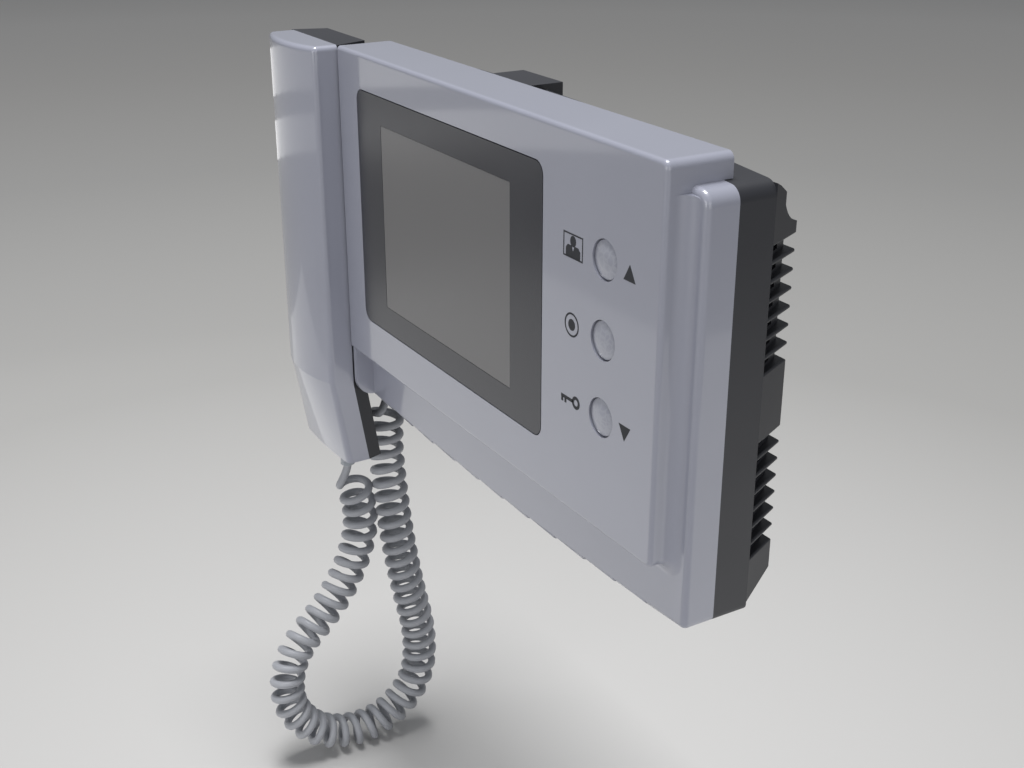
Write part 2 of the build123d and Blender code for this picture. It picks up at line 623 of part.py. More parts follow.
def make_screen():
    """Bezel, lens, gasket, display frame, display glass and its light box."""
    lens_size = (VIEW_SIZE[0] + 2 * LENS_LAP, VIEW_SIZE[1] + 2 * LENS_LAP)
    lip = PANEL_DEPTH - BEZEL_LIP
    bezel = plate(SCREEN_CENTRE, BEZEL_SIZE, SCREEN_SEAT, PANEL_DEPTH, BEZEL_CORNER)
    bezel -= plate(SCREEN_CENTRE, VIEW_SIZE, lip, PANEL_DEPTH)
    bezel -= plate(SCREEN_CENTRE, lens_size, SCREEN_SEAT, lip)
    lens = (lens_size[0] - 2 * LENS_GAP, lens_size[1] - 2 * LENS_GAP)
    window = plate(SCREEN_CENTRE, lens, SCREEN_SEAT, lip)
    middle = (VIEW_SIZE[0] - 2 * LENS_GAP, VIEW_SIZE[1] - 2 * LENS_GAP)
    window += plate(SCREEN_CENTRE, middle, lip, PANEL_DEPTH - LENS_SINK)
    face = SCREEN_SEAT - GASKET
    frame_size = lcd_size()
    gasket = plate(SCREEN_CENTRE, frame_size, face, SCREEN_SEAT)
    gasket -= plate(SCREEN_CENTRE, VIEW_SIZE, face, SCREEN_SEAT)
    glass = (VIEW_SIZE[0] + 2 * LCD_MARGIN, VIEW_SIZE[1] + 2 * LCD_MARGIN)
    nest = (glass[0] + 2 * LCD_GAP, glass[1] + 2 * LCD_GAP)
    back = face - LCD_FRAME_DEPTH
    lip_back = face - LCD_FRAME_WALL
    frame = plate(SCREEN_CENTRE, frame_size, back, face)
    frame -= plate(SCREEN_CENTRE, nest, back + LCD_FRAME_WALL, lip_back)
    frame -= plate(SCREEN_CENTRE, VIEW_SIZE, lip_back, face)
    ear_front = SCREEN_SEAT - SEAT_THICK
    for x, z in lcd_screw_places():
        side = 1 if x > SCREEN_CENTRE[0] else -1
        inner_end = SCREEN_CENTRE[0] + side * (frame_size[0] / 2 - LCD_FRAME_WALL / 2)
        span = sorted((inner_end, x + side * SCREW_HEAD / 2))
        rise = (z - SCREW_HEAD, z + SCREW_HEAD)
        frame += block(span, (ear_front - LCD_FRAME_WALL, ear_front), rise)
        frame -= rod(x, z, SCREW_DIAMETER + 2 * SCREW_GAP, ear_front - LCD_FRAME_WALL, ear_front)
    screws = [
        screw(x, z, ear_front - LCD_FRAME_WALL, LCD_FRAME_WALL + SEAT_THICK)
        for x, z in lcd_screw_places()
    ]
    return {
        "screen_bezel": bezel,
        "screen_lens": window,
        "screen_gasket": gasket,
        "lcd_frame": frame,
        "lcd_glass": plate(SCREEN_CENTRE, glass, lip_back - LCD_GLASS, lip_back),
        "lcd_backlight": plate(
            SCREEN_CENTRE, glass, back + LCD_FRAME_WALL, lip_back - LCD_GLASS
        ),
        "lcd_screws": Compound(screws),
    }


# ---- Buttons and their switches ----
def make_button(z):
    """A domed cap with a rim that keeps it in and a stem that presses its switch."""
    front = PANEL_DEPTH + BUTTON_PROUD
    rim = PANEL_INNER - REST_GAP / 2
    back = rim - BUTTON_RIM
    sphere_depth = front - BUTTON_DOME
    cap = rod(BUTTON_X, z, BUTTON_DIAMETER, back, front)
    cap = cap & Pos(BUTTON_X, -sphere_depth, z) * Sphere(BUTTON_DOME)
    cap += rod(BUTTON_X, z, BUTTON_DIAMETER + 2 * BUTTON_FLANGE, back, rim)
    cap -= rod(BUTTON_X, z, BUTTON_DIAMETER - 2 * BUTTON_RIM, back, PANEL_INNER)
    return cap + rod(BUTTON_X, z, STEM_DIAMETER, stem_top(), PANEL_INNER)


def stem_top():
    """Where a button's stem meets the plunger of its switch."""
    return KEYPAD_DEPTH + SWITCH_HEIGHT + BUTTON_TRAVEL + REST_GAP


def make_switches(z):
    """A tact switch: its body on the board, and the plunger that the button presses."""
    bore_floor = KEYPAD_DEPTH + SWITCH_HEIGHT / 4
    body = plate((BUTTON_X, z), (SWITCH_SIZE, SWITCH_SIZE), KEYPAD_DEPTH, KEYPAD_DEPTH + SWITCH_HEIGHT)
    body -= rod(BUTTON_X, z, STEM_DIAMETER + 2 * STEM_GAP, bore_floor, KEYPAD_DEPTH + SWITCH_HEIGHT)
    plunger = rod(BUTTON_X, z, STEM_DIAMETER, bore_floor + BUTTON_TRAVEL + REST_GAP, stem_top())
    return body, plunger


def make_keypad():
    """The keypad board on its two posts, and its screws."""
    places = keypad_post_places()
    middle = BUTTON_TOP_Z - BUTTON_PITCH
    height = places[0][1] - places[1][1] + POST_DIAMETER + 2
    board = plate((BUTTON_X, middle), (KEYPAD_WIDTH, height), KEYPAD_DEPTH - BOARD_THICK, KEYPAD_DEPTH)
    for x, z in places:
        board -= rod(x, z, SCREW_DIAMETER + 2 * SCREW_GAP, KEYPAD_DEPTH - BOARD_THICK, KEYPAD_DEPTH)
    screws = [screw(x, z, KEYPAD_DEPTH - BOARD_THICK, SCREW_LENGTH) for x, z in places]
    return board, Compound(screws)


# ---- Electronics in the housing ----
def make_electronics():
    """The main board with its wire terminals, and the call speaker."""
    back = BOARD_DEPTH - BOARD_THICK
    board = plate(BOARD_CENTRE, BOARD_SIZE, back, BOARD_DEPTH, WALL)
    for x, z in board_post_places():
        board -= rod(x, z, SCREW_DIAMETER + 2 * SCREW_GAP, back, BOARD_DEPTH)
    screws = [screw(x, z, BOARD_DEPTH, SCREW_LENGTH, False) for x, z in board_post_places()]
    wide, tall, thick = TERMINAL_SIZE
    terminals = block((-wide / 2, wide / 2), (back - thick, back), (-tall / 2, tall / 2))
    pitch = wide / TERMINAL_COUNT
    clamps = []
    for n in range(TERMINAL_COUNT):
        x = -wide / 2 + pitch * (n + 0.5)
        entry = (x - pitch * 0.3, x + pitch * 0.3)
        terminals -= block(entry, (back - thick * 0.7, back - thick * 0.2), (-tall / 2, 0))
        terminals -= rod(x, tall / 5, pitch * 0.6, back - thick, back - thick * 0.6)
        clamp = rod(x, tall / 5, pitch * 0.5, back - thick * 0.9, back - thick * 0.6)
        clamp -= block((x - pitch, x + pitch), (0, back - thick * 0.8), (tall / 5 - 0.4, tall / 5 + 0.4))
        clamps.append(clamp)
    basket, cone = make_speaker(*SPEAKER_CENTRE, SPEAKER_DIAMETER, FLOOR_DEPTH, SPEAKER_DEPTH)
    return {
        "main_board": board,
        "board_screws": Compound(screws),
        "terminal_block": terminals,
        "terminal_screws": Compound(clamps),
        "call_speaker": basket,
        "call_speaker_cone": cone,
    }


def make_speaker(x, z, diameter, rim_depth, thick):
    """A small loudspeaker with its rim at a depth and its magnet in front of it: basket and cone."""
    magnet = diameter * 0.55
    wall = 0.8
    profile = Polyline(
        [
            (0, thick),
            (magnet / 2, thick),
            (magnet / 2, thick * 0.6),
            (diameter / 2 - 2 * wall, thick * 0.15),
            (diameter / 2, thick * 0.15),
            (diameter / 2, 0),
            (diameter / 2 - 2 * wall, 0),
            (magnet / 4, thick * 0.45),
            (0, thick * 0.45),
        ],
        close=True,
    )
    turned = Plane(origin=(x, -rim_depth, z), x_dir=(1, 0, 0), z_dir=(0, 0, 1)) * make_face(profile)
    turned = turned.mirror(Plane(origin=(x, -rim_depth, z), z_dir=(0, 1, 0)))
    basket = revolve(turned, Axis((x, 0, z), (0, 1, 0)))
    inner = Polyline(
        [
            (0, thick * 0.45),
            (magnet / 4, thick * 0.45),
            (diameter / 2 - 2 * wall, 0),
            (diameter / 2 - 4 * wall, 0),
            (magnet / 4 - wall, thick * 0.36),
            (0, thick * 0.3),
        ],
        close=True,
    )
    shape = Plane(origin=(x, -rim_depth, z), x_dir=(1, 0, 0), z_dir=(0, 0, 1)) * make_face(inner)
    shape = shape.mirror(Plane(origin=(x, -rim_depth, z), z_dir=(0, 1, 0)))
    return basket, revolve(shape, Axis((x, 0, z), (0, 1, 0)))


# ---- Cradle and hook switch ----
def plunger_height():
    return PAD_TOP - PLUNGER_DIAMETER


def make_cradle():
    """The charcoal bay that the handset rests in, with its pocket, its rest pad and its ribs."""
    bay = left_of(body_outline(), COVER_LEFT)
    cradle = layer(bay, JOINT_DEPTH, CRADLE_DEPTH)
    edge = [e for e in cradle.edges().group_by(Axis.Y)[0] if e.center().X < COVER_LEFT - 1]
    cradle = fillet(edge, SLAB_EDGE)
    pad = (HANDSET_X - PAD_WIDTH / 2, HANDSET_X + PAD_WIDTH / 2)
    rise = (PAD_TOP - PAD_HEIGHT, PAD_TOP)
    rest = block(pad, (CRADLE_DEPTH - WALL / 2, PAD_DEPTH), rise)
    cradle += fillet(rest.edges().group_by(Axis.Y)[0], SLAB_EDGE)
    cradle -= layer(left_of(body_outline(WALL), COVER_LEFT - WALL), JOINT_DEPTH, CRADLE_DEPTH - WALL)
    inside = (pad[0] + WALL, pad[1] - WALL)
    cradle -= block(inside, (JOINT_DEPTH, PAD_DEPTH - WALL), (rise[0] + WALL, rise[1] - WALL))
    pocket = EARPIECE_DIAMETER + 2 * POCKET_GAP
    cradle += rod(HANDSET_X, EARPIECE_HEIGHT, pocket + 2 * WALL, JOINT_DEPTH, CRADLE_DEPTH - WALL / 2)
    cradle -= rod(HANDSET_X, EARPIECE_HEIGHT, pocket, CRADLE_DEPTH - POCKET_DEPTH, CRADLE_DEPTH)
    for x, z in cradle_screw_places():
        cradle += rod(x, z, SCREW_HEAD + 2 * WALL, JOINT_DEPTH, CRADLE_DEPTH - WALL / 2)
        cradle -= rod(x, z, SCREW_HEAD + 2 * SCREW_GAP, cradle_screw_seat(), CRADLE_DEPTH)
        cradle -= rod(x, z, SCREW_DIAMETER + 2 * SCREW_GAP, JOINT_DEPTH, CRADLE_DEPTH)
    hole = PLUNGER_DIAMETER + 2 * PLUNGER_GAP
    return cradle - rod(HANDSET_X, plunger_height(), hole, PAD_DEPTH - WALL, PAD_DEPTH)


def cradle_screw_seat():
    return CRADLE_DEPTH - SCREW_HEAD_HEIGHT - 1


def make_hook_switch():
    """The plunger that the resting handset holds in, and the switch behind it."""
    z = plunger_height()
    tip = BACK_REAR - PLUNGER_GAP
    flange = PAD_DEPTH - WALL - PLUNGER_TRAVEL - REST_GAP
    top = HOOK_SWITCH_DEPTH + HOOK_SWITCH_SIZE[2]
    plunger = rod(HANDSET_X, z, PLUNGER_DIAMETER, flange - WALL / 2, tip)
    plunger += rod(HANDSET_X, z, PLUNGER_DIAMETER + WALL, flange - WALL / 2, flange)
    plunger += rod(HANDSET_X, z, STEM_DIAMETER, top + REST_GAP, flange)
    size = (HOOK_SWITCH_SIZE[0], HOOK_SWITCH_SIZE[1])
    body = plate((HANDSET_X, z), size, HOOK_SWITCH_DEPTH, top)
    return plunger, body


# ---- Handset ----
def handset_section(z, crown, edge, corner, rear, inset):
    """The outline across the handset's front shell at one height, with a crowned front."""
    half = HANDSET_WIDTH / 2 - inset
    crown, edge, corner = crown - inset, edge - inset, corner - inset
    rise = crown - edge
    bow = (half**2 + rise**2) / (2 * rise)
    bow_depth = crown - bow
    corner_x = half - corner
    corner_depth = bow_depth + sqrt((bow - corner) ** 2 - corner_x**2)
    lean = atan2(corner_x, corner_depth - bow_depth)
    middle = (lean + pi / 2) / 2

    def spot(x, depth):
        return (HANDSET_X + x, -depth, z)

    def pair(side):
        touch = spot(side * bow * sin(lean), bow_depth + bow * cos(lean))
        turn = spot(
            side * (corner_x + corner * sin(middle)), corner_depth + corner * cos(middle)
        )
        return touch, turn

    (right_touch, right_turn), (left_touch, left_turn) = pair(1), pair(-1)
    edges = [
        Line(spot(-half, rear), spot(half, rear)),
        Line(spot(half, rear), spot(half, corner_depth)),
        ThreePointArc(spot(half, corner_depth), right_turn, right_touch),
        ThreePointArc(right_touch, spot(0, crown), left_touch),
        ThreePointArc(left_touch, left_turn, spot(-half, corner_depth)),
        Line(spot(-half, corner_depth), spot(-half, rear)),
    ]
    return make_face(edges)


def front_form(inset=0.0):
    """The front shell's outside, or its inside where inset is the wall."""
    rear = HANDSET_PARTING - BEND_FALL - 1
    edge = HANDSET_CROWN - HANDSET_CREST
    chin = HANDSET_CROWN - CHIN_FALL
    mid_corner = (HANDSET_CORNER + CHIN_CORNER) / 2
    sections = [
        (HANDSET_TOP - inset, HANDSET_CROWN, edge, HANDSET_CORNER),
        (CHIN_BLEND_TOP, HANDSET_CROWN, edge, HANDSET_CORNER),
        (CHIN_TOP, HANDSET_CROWN, edge, mid_corner),
        (HANDSET_BOTTOM + inset, chin, chin - CHIN_CREST, CHIN_CORNER),
    ]
    faces = [handset_section(z, c, e, k, rear, inset) for z, c, e, k in sections]
    form = loft(faces, ruled=True)
    bend = HANDSET_PARTING - BEND_FALL
    over = 2 * HANDSET_CROWN
    keep = [
        (HANDSET_PARTING, HANDSET_TOP + 1),
        (HANDSET_PARTING, BEND_TOP),
        (bend, HANDSET_BOTTOM),
        (bend, HANDSET_BOTTOM - 1),
        (over, HANDSET_BOTTOM - 1),
        (over, HANDSET_TOP + 1),
    ]
    return form & ribbon(keep, HANDSET_X - HANDSET_WIDTH, HANDSET_X + HANDSET_WIDTH)


def parting_at(z):
    """Depth of the line where the two shells meet, which bends back at the chin."""
    below = max(BEND_TOP - z, 0.0)
    return HANDSET_PARTING - BEND_FALL * below / (BEND_TOP - HANDSET_BOTTOM)


def back_form(inset=0.0):
    """The back shell's outside, or its inside where inset is the wall."""
    stations = [
        (HANDSET_TOP - inset, HEAD_THICK),
        (HEAD_BOTTOM + inset / 2, HEAD_THICK),
        (HEAD_BOTTOM - HEAD_SLOPE + inset / 2, BACK_THICK),
        (BEND_TOP, BACK_THICK),
        (HANDSET_BOTTOM + inset, BACK_THICK),
    ]
    faces = []
    for z, thick in stations:
        half = HANDSET_WIDTH / 2 - inset
        rear = parting_at(z) - thick + inset
        front = parting_at(z) + inset / 2
        slim = half - (thick - inset) * BACK_DRAFT
        points = [(-half, front), (half, front), (slim, rear), (-slim, rear)]
        outline = Polyline([(HANDSET_X + x, -d, z) for x, d in points], close=True)
        faces.append(make_face(outline))
    return loft(faces, ruled=True)


def handset_jack_hole():
    """The hole in both shells that takes the handset's jack."""
    low = HANDSET_BOTTOM - 1
    return jack_block(HANDSET_X, HANDSET_JACK_DEPTH, low, JACK_HEIGHT + 2, JACK_GAP)


def handset_screw_places():
    return [(HANDSET_X, HEAD_BOTTOM - HEAD_SLOPE - POST_DIAMETER), (HANDSET_X, BEND_TOP + POST_DIAMETER)]


def make_handset_front():
    """The pale shell that faces the room."""
    shell = front_form()
    top = [e for e in shell.edges() if abs(e.center().Z - HANDSET_TOP) < 0.01]
    top = [e for e in top if -e.center().Y > HANDSET_PARTING + 1]
    shell = fillet([e for e in top if e.geom_type != GeomType.LINE], HANDSET_TOP_ROUND)
    shell -= front_form(HANDSET_WALL)
    for x, z in handset_screw_places():
        shell += rod(x, z, POST_DIAMETER, HANDSET_PARTING, HANDSET_CROWN - HANDSET_WALL / 2)
        shell -= rod(x, z, SCREW_HOLE, HANDSET_PARTING, HANDSET_PARTING + SCREW_LENGTH)
    return shell - handset_jack_hole()


def make_handset_back():
    """The charcoal shell behind it, with the earpiece ring and its grille."""
    shell = back_form() - back_form(HANDSET_WALL)
    rear = HANDSET_PARTING - HEAD_THICK
    shell += rod(HANDSET_X, EARPIECE_HEIGHT, EARPIECE_DIAMETER, rear - EARPIECE_STAND, rear)
    shell -= rod(HANDSET_X, EARPIECE_HEIGHT, EARPIECE_DIAMETER - 2 * WALL, rear - EARPIECE_STAND, rear)
    for x, z in grille_places():
        shell -= rod(x, z, GRILLE_HOLE, rear - 1, rear + HANDSET_WALL + 1)
    for x, z in handset_screw_places():
        shell += rod(x, z, POST_DIAMETER + 2 * HANDSET_WALL, BACK_REAR, HANDSET_PARTING)
        shell -= rod(x, z, SCREW_HEAD + 2 * SCREW_GAP, BACK_REAR, handset_screw_seat())
        shell -= rod(x, z, SCREW_DIAMETER + 2 * SCREW_GAP, BACK_REAR, HANDSET_PARTING)
    chin = parting_at(MICROPHONE_HEIGHT) - BACK_THICK / 2
    shell -= rod(HANDSET_X, MICROPHONE_HEIGHT, GRILLE_HOLE, 0, chin)
    return shell - handset_jack_hole()


def handset_screw_seat():
    return HANDSET_PARTING - WALL


def make_microphone():
    """The capsule behind the chin, square to the sloping back."""
    lean = atan2(BEND_FALL, BEND_TOP - HANDSET_BOTTOM)
    diameter, thick = MICROPHONE_SIZE
    rear = parting_at(MICROPHONE_HEIGHT) - BACK_THICK
    floor = rear + HANDSET_WALL / cos(lean) + REST_GAP
    capsule = Pos(0, 0, thick / 2) * Cylinder(diameter / 2, thick)
    place = Plane(
        origin=(HANDSET_X, -floor, MICROPHONE_HEIGHT), z_dir=(0, -cos(lean), -sin(lean))
    )
    return place * capsule


def make_weight():
    """A steel bar that gives the handset its heft, on the inside of its back."""
    wide, thick, tall = WEIGHT_SIZE
    floor = BACK_REAR + HANDSET_WALL
    top = HEAD_BOTTOM - HEAD_SLOPE - 2.5 * POST_DIAMETER
    across = (HANDSET_X - wide / 2, HANDSET_X + wide / 2)
    bar = block(across, (floor, floor + thick), (top - tall, top))
    return fillet(bar.edges().filter_by(Axis.Y), thick)


def grille_places():
    """A ring of holes round a centre hole."""
    places = [(HANDSET_X, EARPIECE_HEIGHT)]
    for ring, count in ((5.0, 6), (10.0, 12)):
        for n in range(count):
            turn = 2 * pi * n / count
            places.append((HANDSET_X + ring * cos(turn), EARPIECE_HEIGHT + ring * sin(turn)))
    return places


# ---- Cord and its plugs ----
def make_jack(x, depth, mouth):
    """A small modular jack whose mouth faces down."""
    jack = jack_block(x, depth, mouth, JACK_HEIGHT)
    half_x, half_d = PLUG_SIZE[0] / 2 + PLUG_GAP, PLUG_SIZE[1] / 2 + PLUG_GAP
    deep = PLUG_SIZE[2] - PLUG_SHOWN + REST_GAP
    return jack - block((x - half_x, x + half_x), (depth - half_d, depth + half_d), (mouth, mouth + deep))


def make_plug(x, depth, mouth):
    """The plug in its jack, with a slightly flared boot that the cord leaves."""
    half_x, half_d = PLUG_SIZE[0] / 2, PLUG_SIZE[1] / 2
    low = mouth - PLUG_SHOWN
    body = block((x - half_x, x + half_x), (depth - half_d, depth + half_d), (low, low + PLUG_SIZE[2]))
    boot = Cone(BOOT_MOUTH / 2, CORD_DIAMETER / 2 + BOOT_WALL, BOOT_LENGTH)
    return body + Pos(x, -depth, low - BOOT_LENGTH / 2) * boot


def cord_route():
    """Corner points of the coiled cord's middle line, from the handset round to the body."""
    return [
        (-131.2, -48.6, -141.5),
        (-131.1, -41.6, -161.7),
        (-130.4, -46.1, -189.4),
        (-129.2, -63.1, -217.2),
        (-126.9, -91.8, -240.5),
        (-125.1, -96.5, -272.5),
        (-122.9, -76.8, -297.6),
        (-121.1, -43.8, -301.8),
        (-119.7, -17.8, -281.5),
        (-119.4, -13.9, -250.0),
        (-120.6, -21.2, -214.4),
        (-122.3, -25.9, -179.8),
        (-124.9, -27.9, -148.3),
        (-128.8, -27.7, -122.9),
        (-130.0, -24.7, -102.0),
    ]


def bend_radii(points):
    """The largest arc that each corner's two runs allow."""
    radii = []
    for before, here, after in zip(points, points[1:], points[2:]):
        come = Vector(*here) - Vector(*before)
        go = Vector(*after) - Vector(*here)
        turn = radians(come.get_angle(go))
        radii.append(ARC_SHARE * min(come.length, go.length) / tan(turn / 2))
    return radii


def make_cord():
    """The curly cord as one tube of its outer diameter, with a plain tail at each end."""
    points = cord_route()
    radii = bend_radii(points)
    print("cord radii:", [round(r, 1) for r in radii])
    path = FilletPolyline(*points, radius=radii)
    section = Plane(origin=path @ 0, z_dir=path % 0) * Circle(COIL_DIAMETER / 2)
    tube = sweep(section, path)
    print("cord length:", round(path.length, 1))
    print("volume share:", round(tube.volume / (path.length * pi * COIL_DIAMETER**2 / 4), 4))
    low = HANDSET_BOTTOM - PLUG_SHOWN - BOOT_LENGTH
    first = Cylinder(CORD_DIAMETER / 2, low - points[0][2] + CORD_DIAMETER)
    tail = Pos(HANDSET_X, -HANDSET_JACK_DEPTH, (low + points[0][2] - CORD_DIAMETER) / 2) * first
    tube += tail
    low = base_mouth() - PLUG_SHOWN - BOOT_LENGTH
    last = Cylinder(CORD_DIAMETER / 2, low - points[-1][2] + CORD_DIAMETER)
    return tube + Pos(BASE_JACK_X, -BASE_JACK_DEPTH, (low + points[-1][2] - CORD_DIAMETER) / 2) * last


def housing_screw_seat():
    return JOINT_DEPTH - 2 * WALL


def main():
    os.makedirs("parts", exist_ok=True)
    parts = {
        "rear_housing": make_rear_housing(),
        "wall_bracket": make_wall_bracket(),
        "front_cover": make_front_cover(),
        "cradle": make_cradle(),
    }
    parts.update(make_screen())
    parts.update(make_electronics())
    for name, z in zip(BUTTON_NAMES, button_heights()):
        parts[name + "_button"] = make_button(z)
        parts[name + "_switch"], parts[name + "_switch_plunger"] = make_switches(z)
    parts["keypad_board"], parts["keypad_screws"] = make_keypad()
    housing = [
        screw(x, z, housing_screw_seat(), SCREW_LENGTH + 2 * WALL - 1)
        for x, z in housing_screw_places()
    ]
    parts["housing_screws"] = Compound(housing)
    cradle = [screw(x, z, cradle_screw_seat(), SCREW_LENGTH, False) for x, z in cradle_screw_places()]
    parts["cradle_screws"] = Compound(cradle)
    parts["hook_plunger"], parts["hook_switch"] = make_hook_switch()
    parts["handset_front"] = make_handset_front()
    parts["handset_back"] = make_handset_back()
    handset = [screw(x, z, handset_screw_seat(), SCREW_LENGTH) for x, z in handset_screw_places()]
    parts["handset_screws"] = Compound(handset)
    rear = HANDSET_PARTING - HEAD_THICK + HANDSET_WALL
    parts["earpiece_speaker"], parts["earpiece_cone"] = make_speaker(
        HANDSET_X, EARPIECE_HEIGHT, EARPIECE_DIAMETER - 2 * WALL, rear, EARPIECE_DEEP
    )
    parts["microphone"] = make_microphone()
    parts["handset_weight"] = make_weight()
    parts["base_cord_jack"] = make_jack(BASE_JACK_X, BASE_JACK_DEPTH, base_mouth())
    parts["base_cord_plug"] = make_plug(BASE_JACK_X, BASE_JACK_DEPTH, base_mouth())
    parts["handset_cord_jack"] = make_jack(HANDSET_X, HANDSET_JACK_DEPTH, HANDSET_BOTTOM)
    parts["handset_cord_plug"] = make_plug(HANDSET_X, HANDSET_JACK_DEPTH, HANDSET_BOTTOM)
    parts["curly_cord"] = make_cord()
    for name, shape in parts.items():
        export_step(shape, "parts/" + name + ".step")


main()
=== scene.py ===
# %% [markdown]
# # A video intercom monitor on the wall
#
# The solid parts of the monitor come ready made, at their real size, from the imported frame. This
# lesson gives each of them its finish, winds the curly cord, prints the marks beside the buttons, and
# sets up a small studio. Lengths are in metres, +Z is up, and the monitor looks along -Y.
# %% Load the frame
import json
import math

import bpy
from mathutils import Matrix, Vector


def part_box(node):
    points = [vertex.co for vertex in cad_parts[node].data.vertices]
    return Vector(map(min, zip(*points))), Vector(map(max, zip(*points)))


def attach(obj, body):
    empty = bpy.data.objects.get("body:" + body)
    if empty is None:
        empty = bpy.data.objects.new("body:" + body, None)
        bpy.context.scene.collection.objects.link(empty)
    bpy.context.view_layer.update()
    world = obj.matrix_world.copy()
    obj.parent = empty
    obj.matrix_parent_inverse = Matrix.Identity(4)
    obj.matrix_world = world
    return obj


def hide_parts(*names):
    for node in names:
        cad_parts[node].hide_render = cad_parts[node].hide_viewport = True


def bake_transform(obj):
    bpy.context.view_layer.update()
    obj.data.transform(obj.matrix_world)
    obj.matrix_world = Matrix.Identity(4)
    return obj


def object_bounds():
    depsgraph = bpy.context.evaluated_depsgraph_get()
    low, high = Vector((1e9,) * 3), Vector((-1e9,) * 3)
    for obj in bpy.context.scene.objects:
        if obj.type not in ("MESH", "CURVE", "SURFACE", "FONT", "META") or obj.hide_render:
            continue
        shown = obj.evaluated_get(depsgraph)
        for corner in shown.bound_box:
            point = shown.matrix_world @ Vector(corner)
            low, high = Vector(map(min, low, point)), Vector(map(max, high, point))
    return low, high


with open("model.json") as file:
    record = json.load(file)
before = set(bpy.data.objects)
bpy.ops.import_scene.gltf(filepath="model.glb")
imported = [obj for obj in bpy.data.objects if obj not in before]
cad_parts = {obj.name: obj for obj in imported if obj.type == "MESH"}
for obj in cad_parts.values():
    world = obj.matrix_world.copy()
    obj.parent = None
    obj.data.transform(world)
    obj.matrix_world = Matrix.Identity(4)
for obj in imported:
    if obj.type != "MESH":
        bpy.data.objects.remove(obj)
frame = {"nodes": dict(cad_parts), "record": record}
frame_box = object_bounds()
MM = 0.001
print("the solid model's box:", frame_box)

# %% [markdown]
# ## Camera
#
# The monitor is seen from its right, a little from above, through a lens close to a normal one. A
# camera looks along its own -Z, so it is first raised to the horizon, then tipped down, then turned
# about Z.
# %% Camera
CAMERA_PLACE = Vector((0.495, -0.319, 0.199))
CAMERA_TURN = math.radians(59.2)
CAMERA_DIP = math.radians(23.07)

camera_data = bpy.data.cameras.new("studio_camera")
camera_data.lens = 49.01
camera_data.sensor_width = 36
camera_data.clip_start = 0.01
camera = bpy.data.objects.new("studio_camera", camera_data)
bpy.context.collection.objects.link(camera)
aim = Matrix.Rotation(CAMERA_TURN, 4, "Z") @ Matrix.Rotation(math.pi / 2 - CAMERA_DIP, 4, "X")
camera.matrix_world = Matrix.Translation(CAMERA_PLACE) @ aim
bpy.context.scene.camera = camera
print("camera at", tuple(CAMERA_PLACE))

# %% [markdown]
# ## The curly cord
#
# A handset cord is a thin wire wound on a rod, baked, and pulled off, so it stays a spring. It hangs
# from the handset in one loop and comes back up to its jack in the housing. Winding it takes two
# steps: a smooth line for the middle of the spring, and a wire that goes round that line. The line is
# a NURBS curve, because its few control points are easy to move by hand.
# %% The line that the spring follows
LINE_SAMPLES = 60  # drawn points for each control point
CORD_ROUTE = [  # in millimetres, from the handset down, round and up to the housing
    (-131.2, -48.6, -141.5), (-131.1, -41.6, -161.7), (-130.4, -46.1, -189.4), (-129.2, -63.1, -217.2),
    (-126.9, -91.8, -240.5), (-125.1, -96.5, -272.5), (-122.9, -76.8, -297.6), (-121.1, -43.8, -301.8),
    (-119.7, -17.8, -281.5), (-119.4, -13.9, -250.0), (-120.6, -21.2, -214.4), (-122.3, -25.9, -179.8),
    (-124.9, -27.9, -148.3), (-128.8, -27.7, -122.9), (-130.0, -24.7, -102.0),
]


def smooth_line(name, points, samples):
    """A NURBS curve through space, and the points that Blender draws along it."""
    curve = bpy.data.curves.new(name, "CURVE")
    curve.dimensions = "3D"
    curve.resolution_u = samples
    spline = curve.splines.new("NURBS")
    spline.points.add(len(points) - 1)
    for control, place in zip(spline.points, points):
        control.co = (*place, 1)
    spline.order_u = 3
    spline.use_endpoint_u = True
    guide = bpy.data.objects.new(name, curve)
    bpy.context.collection.objects.link(guide)
    mesh = bpy.data.meshes.new_from_object(guide)
    line = [vertex.co.copy() for vertex in mesh.vertices]
    bpy.data.objects.remove(guide)
    bpy.data.meshes.remove(mesh)
    return line


coil_line = smooth_line("coil_line", [Vector(point) * MM for point in CORD_ROUTE], LINE_SAMPLES)
coil_length = sum((b - a).length for a, b in zip(coil_line, coil_line[1:]))
print(f"the spring is {coil_length / MM:.0f} mm long")

# %% [markdown]
# The wire goes round the line at a constant distance. An Array modifier along the curve would pinch the
# turns on the inside of a bend, so the wire's points are worked out instead. To know what "round" means
# at each place, a pair of directions across the line is carried along it and turned only as much as the
# line turns, so that the spring doesn't twist where the loop bends.
#
# At both ends the wire leaves the spring in a smooth bend and runs up into its plug. A Bezier curve
# makes such a bend: it leaves each end in the direction that the end's handle gives.
# %% Wind the wire
WIRE = 4.3 * MM
COIL_RADIUS = 7.65 * MM
TURNS = 51.2
STEPS_PER_TURN = 28
PULL = 0.0082  # how far the middle of the spring is pulled along, as a share of its length
FIRST_ANGLE = -0.5  # where the spring starts, in turns from the +X side
TAIL_TURNS = 0.87  # of the spring at each end that the tails replace
TAIL_STEPS = 24
PLUG_HANDLE = 5 * MM  # how far a tail runs straight down from its plug before it bends
COIL_HANDLE = 3.5 * MM  # and how far it runs in line with the spring before they meet
ROUNDING = 1e-9  # lets the last place fall on the line's very end
handset_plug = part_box("handset_cord_plug")
base_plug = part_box("base_cord_plug")


def plug_mouth(box):
    """The middle of a plug's lower end, where the wire comes out."""
    low, high = box
    return Vector(((low[0] + high[0]) / 2, (low[1] + high[1]) / 2, low[2]))


